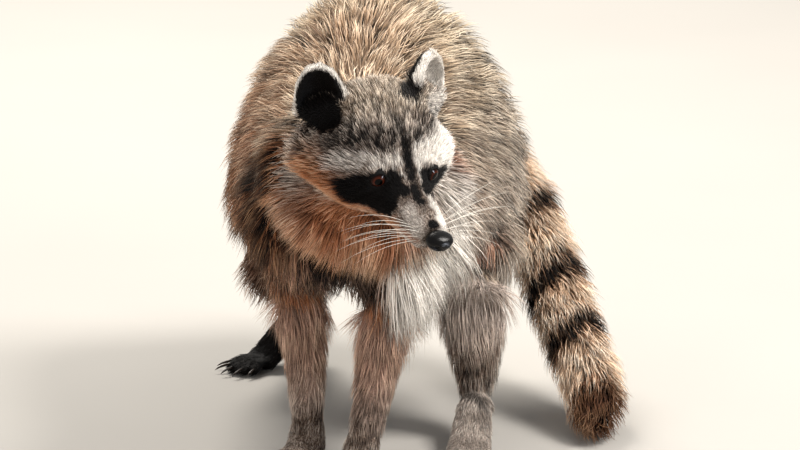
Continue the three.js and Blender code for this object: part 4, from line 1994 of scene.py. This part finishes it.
@dataclass(frozen=True)
class FurFinish:
    """The finish of hair, on locks or as the close hair of the skin itself."""

    name: str
    root: str = Shade.ROOT
    band: str = Shade.BAND
    tip: str = Shade.TIP
    guard: str = Shade.GUARD
    roughness: float = 0.62
    specular: float = 0.18
    grain: float = 300.0
    patches: float = 45.0
    on_skin: bool = False

    def build(self, pelage: NodeTree, grain: NodeTree) -> Material:
        """Makes the material.

        Args:
            pelage: the group that colours hair.
            grain: the group that makes it uneven.

        Returns:
            The material.
        """
        material, desk = new_material(self.name)
        marking = desk.add("ShaderNodeAttribute", attribute_name="Marking")
        shades = desk.add("ShaderNodeSeparateColor", {0: marking.outputs["Color"]}).outputs
        noise = desk.add("ShaderNodeGroup", node_tree=grain)
        desk.feed(noise.inputs["Scale"], self.grain)
        desk.feed(noise.inputs["Coarse"], self.patches)
        if self.on_skin:
            # the skin's close hair takes a low layer, so it gets the same painted shade as the lowest locks
            along, lot, layer = desk.span(noise.outputs["Height"], 0.35, 0.7, 0.1, 0.62), 0.5, 0.3
        else:
            strand = desk.add("ShaderNodeAttribute", attribute_name="Strand").outputs["Vector"]
            along, lot, layer = desk.add("ShaderNodeSeparateXYZ", {0: strand}).outputs
        hair = desk.add("ShaderNodeGroup", {
            "Dark": shades[0], "Pale": shades[1], "Warm": shades[2], "Gold": marking.outputs["Alpha"],
            "Along": along, "Lot": lot, "Layer": layer, "Patch": noise.outputs["Patch"],
            "Root": linear(self.root), "Band": linear(self.band), "Tip": linear(self.tip),
            "Guard": linear(self.guard),
        }, node_tree=pelage)
        inputs = {"Base Color": hair.outputs["Color"], "Roughness": self.roughness,
                  "Specular IOR Level": self.specular}
        if self.on_skin:
            inputs["Normal"] = desk.add("ShaderNodeBump", {
                "Height": noise.outputs["Height"], "Strength": 0.5, "Distance": 0.0006}).outputs[0]
        desk.surface(inputs)
        return material


@dataclass(frozen=True)
class EyeFinish:
    """A wet dark eye: black pupil, streaked red-brown iris and a darker edge, at turns from the gaze."""

    name: str = "wet_eye"
    stops: tuple[tuple[float, str], ...] = (
        (0.0, "#010101"), (0.25, "#030202"), (0.29, "#471d10"), (0.38, "#2c120b"), (0.46, "#140603"),
        (0.6, "#060303"),
    )
    streaks: float = 9.0
    streak_depth: float = 0.06

    def build(self) -> Material:
        """Makes the material.

        Returns:
            The material.
        """
        material, desk = new_material(self.name)
        gaze = desk.add("ShaderNodeAttribute", attribute_name="Gaze")
        turn = desk.add("ShaderNodeSeparateXYZ", {0: gaze.outputs["Vector"]}).outputs
        spoke = desk.add("ShaderNodeCombineXYZ", {0: turn[1], 1: turn[2], 2: 0.0}).outputs[0]
        streak = desk.noise(spoke, self.streaks, 3.0)
        place = desk.maths("MULTIPLY_ADD", streak, self.streak_depth, turn[0], clamp=False)
        colour = desk.ramp(place, *self.stops)
        desk.surface({"Base Color": colour, "Roughness": 0.04, "Coat Weight": 0.14, "Coat Roughness": 0.01,
                      "Specular IOR Level": 0.03})
        return material


@dataclass(frozen=True)
class HideFinish:
    """Bare skin or horn: a mottled colour under a pebbled surface."""

    name: str
    low: str
    high: str
    scale: float
    bump: float
    roughness: float
    shine: float = 0.4

    def build(self) -> Material:
        """Makes the material.

        Returns:
            The material.
        """
        material, desk = new_material(self.name)
        place = desk.add("ShaderNodeTexCoord").outputs["Object"]
        pebble = desk.add("ShaderNodeTexVoronoi", {"Vector": place, "Scale": self.scale}).outputs["Distance"]
        mottle = desk.noise(place, self.scale / 4)
        bump = desk.add("ShaderNodeBump", {"Height": pebble, "Strength": self.bump, "Distance": 0.0004})
        desk.surface({
            "Base Color": desk.blend(mottle, linear(self.low), linear(self.high)),
            "Roughness": desk.span(mottle, 0.0, 1.0, self.roughness * 0.8, self.roughness * 1.25),
            "Normal": bump.outputs[0], "Specular IOR Level": self.shine,
        })
        return material


# ---- eyes, nose, claws and whiskers

@dataclass
class Eyes:
    """The two eyeballs, each with a low cornea."""

    cornea_rise: float = 0.055
    cornea_angle: float = 36.0

    def build(self, material: Material) -> None:
        """Makes both eyes in their sockets.

        Args:
            material: their finish.
        """
        for side, sign in SIDES.items():
            bm = bmesh.new()
            bmesh.ops.create_uvsphere(bm, u_segments=48, v_segments=32, radius=1.0)
            bmesh.ops.rotate(bm, verts=bm.verts, matrix=Matrix.Rotation(math.radians(90), 3, "X"))
            axes, centre = HEAD.eye_axes(sign), HEAD.eye_centre(sign)
            gaze = []
            for vert in bm.verts:
                angle = math.degrees(math.acos(max(-1.0, min(1.0, -vert.co.y))))
                bulge = 1.0 + self.cornea_rise * (1.0 - min(angle / self.cornea_angle, 1.0) ** 2)
                gaze.append((angle / 90.0, *Vector((vert.co.x, vert.co.z)).normalized()))
                vert.co = Vector(axes @ np.array(vert.co) * bulge * HEAD.eye_radius * MM + centre)
            obj = new_piece(f"eyeball_{side}", bm, material)
            add_layer(obj.data, "Gaze", np.array(gaze))
            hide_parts(f"eye_{side}")
        LOG.info("eyes: 2 pieces")


@dataclass
class Nose:
    """The nose pad, with comma-shaped nostrils and a groove under its middle, in the head's frame."""

    half: Triple = (11.0, 9.6, 8.4)
    middle: Triple = (0.0, -57.0, -17.0)
    nostril: Pair = (4.7, -0.6)
    nostril_depth: float = 3.4
    slit_depth: float = 1.7
    wing: float = 0.55
    groove: float = 1.1

    def pad(self, ball: Array) -> Array:
        """Draws a ball out to the pad: wider above, flat on top and swept back below.

        Args:
            ball: the vertices of a ball with a radius of one.

        Returns:
            The vertices of the pad about its middle.
        """
        x, y, z = ball.T
        shape = ball * np.array(self.half)
        shape[:, 0] *= (1 + 0.10 * z) * (1 - 0.16 * ease(0.0, -1.0, z))
        shape[:, 1] += 2.6 * ease(0.1, -1.0, z) * ease(0.4, -0.6, y)
        shape[:, 2] *= np.where(z > 0, 1 - 0.16 * z * z, 1.0)
        return shape

    def carve(self, shape: Array, front: Array) -> None:
        """Carves the nostrils, with the raised wings above them, and the groove.

        Args:
            shape: the vertices of the pad, which are moved.
            front: how far each belongs to the front of the pad.
        """
        for sign in (-1.0, 1.0):
            across = sign * shape[:, 0] - self.nostril[0]
            up = shape[:, 2] - self.nostril[1] - 0.25 * across
            hole = np.exp(-((across / 2.5) ** 2 + (up / 1.7) ** 2))
            slit = np.exp(-(((across - 3.2) / 2.6) ** 2 + ((up + 0.9) / 0.8) ** 2))
            wing = np.exp(-(((across - 0.4) / 3.6) ** 2 + ((up - 2.6) / 1.3) ** 2))
            shape[:, 1] += front * (self.nostril_depth * hole + self.slit_depth * slit - self.wing * wing)
        groove = np.exp(-(shape[:, 0] / 0.75) ** 2) * ease(1.0, -5.0, shape[:, 2]) * front
        shape[:, 1] += self.groove * groove

    def build(self, material: Material) -> None:
        """Makes the nose pad in front of the muzzle.

        Args:
            material: its finish.
        """
        bm = bmesh.new()
        bmesh.ops.create_icosphere(bm, subdivisions=6, radius=1.0)
        ball = np.array([v.co[:] for v in bm.verts])
        shape = self.pad(ball)
        self.carve(shape, ease(0.1, -0.4, ball[:, 1]))
        for vert, place in zip(bm.verts, HEAD.world(shape + np.array(self.middle))):
            vert.co = place
        obj = new_piece("nose_pad", bm, material)
        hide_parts("nose")
        LOG.info("nose: 1 piece")


@dataclass
class Claws:
    """The claws, smoothed from their solids, one piece for each paw."""

    levels: int = 2

    def build(self, material: Material) -> None:
        """Makes the claws of the four paws.

        Args:
            material: their finish.
        """
        for paw in PAW_NODES:
            names = claw_nodes(paw)
            bm = bmesh.new()
            join_nodes(bm, names)
            obj = new_piece(f"claws_{paw}", bm, material)
            smooth = obj.modifiers.new("round", "SUBSURF")
            smooth.levels = smooth.render_levels = self.levels
            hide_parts(*names)
        LOG.info("claws: 4 pieces")


@dataclass(frozen=True)
class WhiskerPad:
    """The way in which the whiskers of one side grow, in the head's frame, and their length in mm."""

    sign: float
    out: Triple
    lift: float
    length: float


@dataclass(frozen=True)
class Whisker:
    """One whisker in the head's frame: its root, its first way, its later way and its length in mm."""

    root: Array
    way: Array
    later: Array
    length: float


@dataclass
class Whiskers:
    """Long pale whiskers that curve away from both sides of the muzzle."""

    width: float = 0.36
    rows: int = 3
    columns: int = 4
    bend: float = 0.62
    lock: Lock = Lock(rings=9, sides=5, fall=2.2)
    pads: tuple[WhiskerPad, ...] = (
        WhiskerPad(-1.0, (-0.86, 0.46, -0.10), -0.22, 76.0),
        WhiskerPad(1.0, (0.93, -0.06, 0.36), 0.10, 78.0),
    )

    def grown(self) -> list[Whisker]:
        """Lays out the whiskers in rows on both sides.

        Returns:
            Every whisker.
        """
        random = np.random.default_rng(SEED + 7)
        found = []
        for pad in self.pads:
            for row in range(self.rows):
                for column in range(self.columns):
                    y = -46.0 + 5.0 * column + random.uniform(-0.8, 0.8)
                    z = -15.0 - 4.0 * row - 0.4 * column + random.uniform(-0.6, 0.6)
                    x = pad.sign * (11.5 + 0.35 * column)
                    spread = (1.0 - row) * 0.24 + random.uniform(-0.08, 0.08)
                    way = np.array(pad.out) + np.array([0.0, (column - 1.0) * 0.14, spread])
                    later = way + np.array([0.0, 0.15, -0.75 + pad.lift])
                    length = pad.length * random.uniform(0.55, 1.08) * (0.74 + 0.09 * column)
                    found.append(Whisker(np.array([x, y, z]), unit(way), unit(later), length))
        return found

    def build(self, material: Material, surface: Surface) -> None:
        """Grows the whiskers out of the skin.

        Args:
            material: their finish.
            surface: the skin's surface.
        """
        tree = BVHTree.FromPolygons([Vector(p) for p in surface.co], surface.triangles.tolist())
        shape, index = self.lock.mesh, self.lock.stations
        ends = np.cumsum(shape.sizes)
        s = np.linspace(0.0, 1.0, self.lock.rings + 1)[:, None]
        half = self.width / 2 * MM
        bm = bmesh.new()
        whiskers = self.grown()
        for whisker in whiskers:
            seat = np.array(tree.find_nearest(Vector(HEAD.world(whisker.root)))[0])
            line = whisker.way * s + (whisker.later - whisker.way) * self.bend * s ** 2
            line = seat + HEAD.way(line) * whisker.length * MM
            tangent = unit(np.gradient(line, axis=0))
            across = unit(np.cross(tangent, np.array([0.0, 0.0, 1.0])))
            over = np.cross(tangent, across)
            spread = across[index] * shape.cross[:, :1] + over[index] * shape.cross[:, 1:]
            points = line[index] + spread * half
            verts = [bm.verts.new(p) for p in points]
            for corners in np.split(shape.corners, ends[:-1]):
                bm.faces.new([verts[i] for i in corners])
        new_piece("whiskers", bm, material)
        LOG.info("whiskers: %d", len(whiskers))


# ---- coats and finishes of the raccoon

FRINGE = (
    Stroke((70, 60, 165), (62, 40, 130), (22, 20), 1.0, 0.5),
    Stroke((52, 20, 178), (60, 34, 140), (16, 16), 0.7, 0.5),
)

COATS = (
    CoatPlan("coat_under", ("trunk", "thigh", "neck", "upper_foreleg"), 11500, "coat", "fur_body",
             Growth(bunch=0.15, bunch_size=6, stray=22, wander=12, stand=(0.1, 0.5), lock=Lock(rings=2)),
             (), 0.62, 2.3),
    CoatPlan("coat_trunk", ("trunk", "thigh"), 31000, "coat", "fur_body",
             Growth(bunch=0.6, bunch_size=14, stray=10, wander=12, stand=(0.3, 1.0), droop=0.05)),
    CoatPlan("coat_neck", ("neck", "upper_foreleg"), 11500, "coat", "fur_body",
             Growth(bunch=0.6, bunch_size=12, stray=10, wander=12, stand=(0.3, 0.95), droop=0.08)),
    CoatPlan("coat_head", ("head", "lower_jaw"), 33500, "face", "fur_face",
             Growth(bunch=0.4, bunch_size=7, stray=9, wander=7, stand=(0.3, 0.95), lock=Lock(rings=2))),
    CoatPlan("coat_ears", ("ear",), 6000, "face", "fur_face",
             Growth(bunch=0.2, bunch_size=6, stray=12, wander=8, stand=(0.5, 2.2), lock=Lock(rings=2))),
    CoatPlan("coat_tail", ("tail_base", "tail_middle", "tail_tip"), 9500, "tail", "fur_tail",
             Growth(bunch=0.5, bunch_size=11, stray=10, wander=9, stand=(0.3, 1.25))),
    CoatPlan("coat_fringe", ("trunk", "upper_foreleg"), 1400, "coat", "fur_body",
             Growth(bunch=0.7, bunch_size=9, stray=12, wander=10, stand=(0.6, 1.6), droop=0.25),
             FRINGE, 1.45),
    CoatPlan("coat_legs", ("forearm", "shank", "forepaw", "hindpaw"), 13500, "coat", "fur_body",
             Growth(bunch=0.5, bunch_size=9, stray=9, wander=8, stand=(0.3, 1.0), lock=Lock(rings=2))),
    CoatPlan("coat_paws", ("forepaw", "hindpaw"), 4000, "paws", "fur_paws",
             Growth(bunch=0.3, bunch_size=6, stray=8, wander=6, stand=(0.3, 1.0), lock=Lock(rings=2))),
)


def make_finishes() -> dict[str, Material]:
    """Makes every finish of the animal.

    Returns:
        The materials by name.
    """
    pelage, grain = pelage_group(), grain_group()
    furs = (
        FurFinish("skin_fur", on_skin=True, roughness=0.8, grain=900.0),
        FurFinish("fur_body"),
        FurFinish("fur_face", root="#2a201b", band="#7d6c62", tip="#dccfc2"),
        FurFinish("fur_tail", root="#b5875a", band="#f0c99c", tip="#fff4e0", guard="#c39a70"),
        FurFinish("fur_paws", root="#2a1e17", band="#78675c", tip="#d3c5b8", guard="#1f1611"),
    )
    made = {fur.name: fur.build(pelage, grain) for fur in furs}
    made["eye"] = EyeFinish().build()
    made["nose"] = HideFinish("moist_nose", "#030202", "#080605", 1700.0, 0.2, 0.24, 0.2).build()
    made["claw"] = HideFinish("claw_horn", "#17110d", "#3b2d22", 500.0, 0.2, 0.42).build()
    made["whisker"] = HideFinish("whisker", "#e9e0d2", "#fbf7ef", 400.0, 0.1, 0.45).build()
    return made


# ---- studio

def towards(azimuth: float, elevation: float) -> Vector:
    """The way from the animal towards a viewer or a light, at angles in degrees."""
    a, e = math.radians(azimuth), math.radians(elevation)
    return Vector((math.sin(a) * math.cos(e), -math.cos(a) * math.cos(e), math.sin(e)))


@dataclass(frozen=True)
class Lamp:
    """One soft square light: where it hangs in degrees and metres, its size, power and colour."""

    name: str
    azimuth: float
    elevation: float
    distance: float
    size: float
    power: float
    colour: str
    glossy: bool = True
    diffuse: bool = True

    def build(self) -> None:
        """Hangs the light so that it faces the animal."""
        data = bpy.data.lights.new(self.name, "AREA")
        data.shape = "SQUARE"
        data.size, data.energy, data.color = self.size, self.power, linear(self.colour)[:3]
        lamp = add_object(self.name, data)
        lamp.visible_glossy, lamp.visible_diffuse = self.glossy, self.diffuse
        way = towards(self.azimuth, self.elevation)
        lamp.location = way * self.distance + Vector((0, 0, 0.15))
        lamp.rotation_euler = way.to_track_quat("Z", "Y").to_euler()


@dataclass(frozen=True)
class Studio:
    """A pale floor, soft lights and the camera, all placed about the animal."""

    azimuth: float = 10.0
    elevation: float = 15.0
    distance: float = 4.0
    lens: float = 234.0
    sensor: float = 36.0
    aim: Triple = (50.0, 0.0, 0.0)
    aim_rise: float = 194.6
    floor_reach: float = 14.0
    floor_low: str = "#a3a09b"
    floor_high: str = "#aaa7a2"
    room: str = "#f3f2f1"
    room_light: float = 0.62
    lamps: tuple[Lamp, ...] = (
        Lamp("key", 90, 50, 2.6, 0.9, 98.0, "#fffaf4"),
        Lamp("fill", -22, 10, 3.0, 1.2, 30.0, "#fff8f2", glossy=False),
        Lamp("back", 208, 48, 2.6, 1.0, 88.0, "#fff9f0"),
        Lamp("glint", 72, 4, 3.0, 0.6, 60.0, "#eef3ff", diffuse=False),
    )

    def build(self) -> None:
        """Sets up the floor, the surroundings, the lights and the camera."""
        self.lay_floor()
        scene = bpy.context.scene
        scene.world = bpy.data.worlds.new("soft_room")
        scene.world.use_nodes = True
        background = scene.world.node_tree.nodes["Background"]
        background.inputs[0].default_value = linear(self.room)
        background.inputs[1].default_value = self.room_light
        scene.view_settings.view_transform = "Standard"
        for lamp in self.lamps:
            lamp.build()
        self.place_camera()
        LOG.info("studio: floor, %d lights and camera", len(self.lamps))

    def lay_floor(self) -> None:
        """Lays the floor."""
        bm = bmesh.new()
        bmesh.ops.create_circle(bm, cap_ends=True, segments=96, radius=self.floor_reach)
        mesh = bpy.data.meshes.new("floor")
        bm.to_mesh(mesh)
        bm.free()
        material, desk = new_material("pale_floor")
        place = desk.add("ShaderNodeTexCoord").outputs["Object"]
        mottle = desk.noise(place, 3.0)
        colour = desk.blend(mottle, linear(self.floor_low), linear(self.floor_high))
        desk.surface({"Base Color": colour, "Roughness": 0.85})
        mesh.materials.append(material)
        floor = add_object("floor", mesh)

    def place_camera(self) -> None:
        """Places the camera and makes it the scene's own."""
        data = bpy.data.cameras.new("view")
        data.lens, data.sensor_width = self.lens, self.sensor
        data.clip_end = 60.0
        camera = add_object("view", data)
        back = towards(self.azimuth, self.elevation)
        right = Vector((math.cos(math.radians(self.azimuth)), math.sin(math.radians(self.azimuth)), 0.0))
        up = back.cross(right)
        target = Vector(BODY.world(np.array(self.aim))) + up * self.aim_rise * MM
        turn = Matrix((right, up, back)).transposed().to_4x4()
        camera.matrix_world = Matrix.Translation(target + back * self.distance) @ turn
        bpy.context.scene.camera = camera


def main() -> None:
    """Builds the studio and then the animal from its skin outwards, and notes the sizes."""
    logging.basicConfig(level=logging.INFO, format="%(relativeCreated)d %(message)s")
    Studio().build()
    finishes = make_finishes()
    skin = Skin()
    skin.build()
    lie = Lie(skin)
    lie.build()
    skin.dress(lie, finishes["skin_fur"])
    Eyes().build(finishes["eye"])
    Nose().build(finishes["nose"])
    Claws().build(finishes["claw"])
    Whiskers().build(finishes["whisker"], skin.surface)
    sampler = Sampler(skin, lie)
    for number, plan in enumerate(COATS):
        Coat(plan, number).grow(sampler, finishes[plan.finish])
    bpy.context.view_layer.update()


if __name__ == "__main__":
    main()
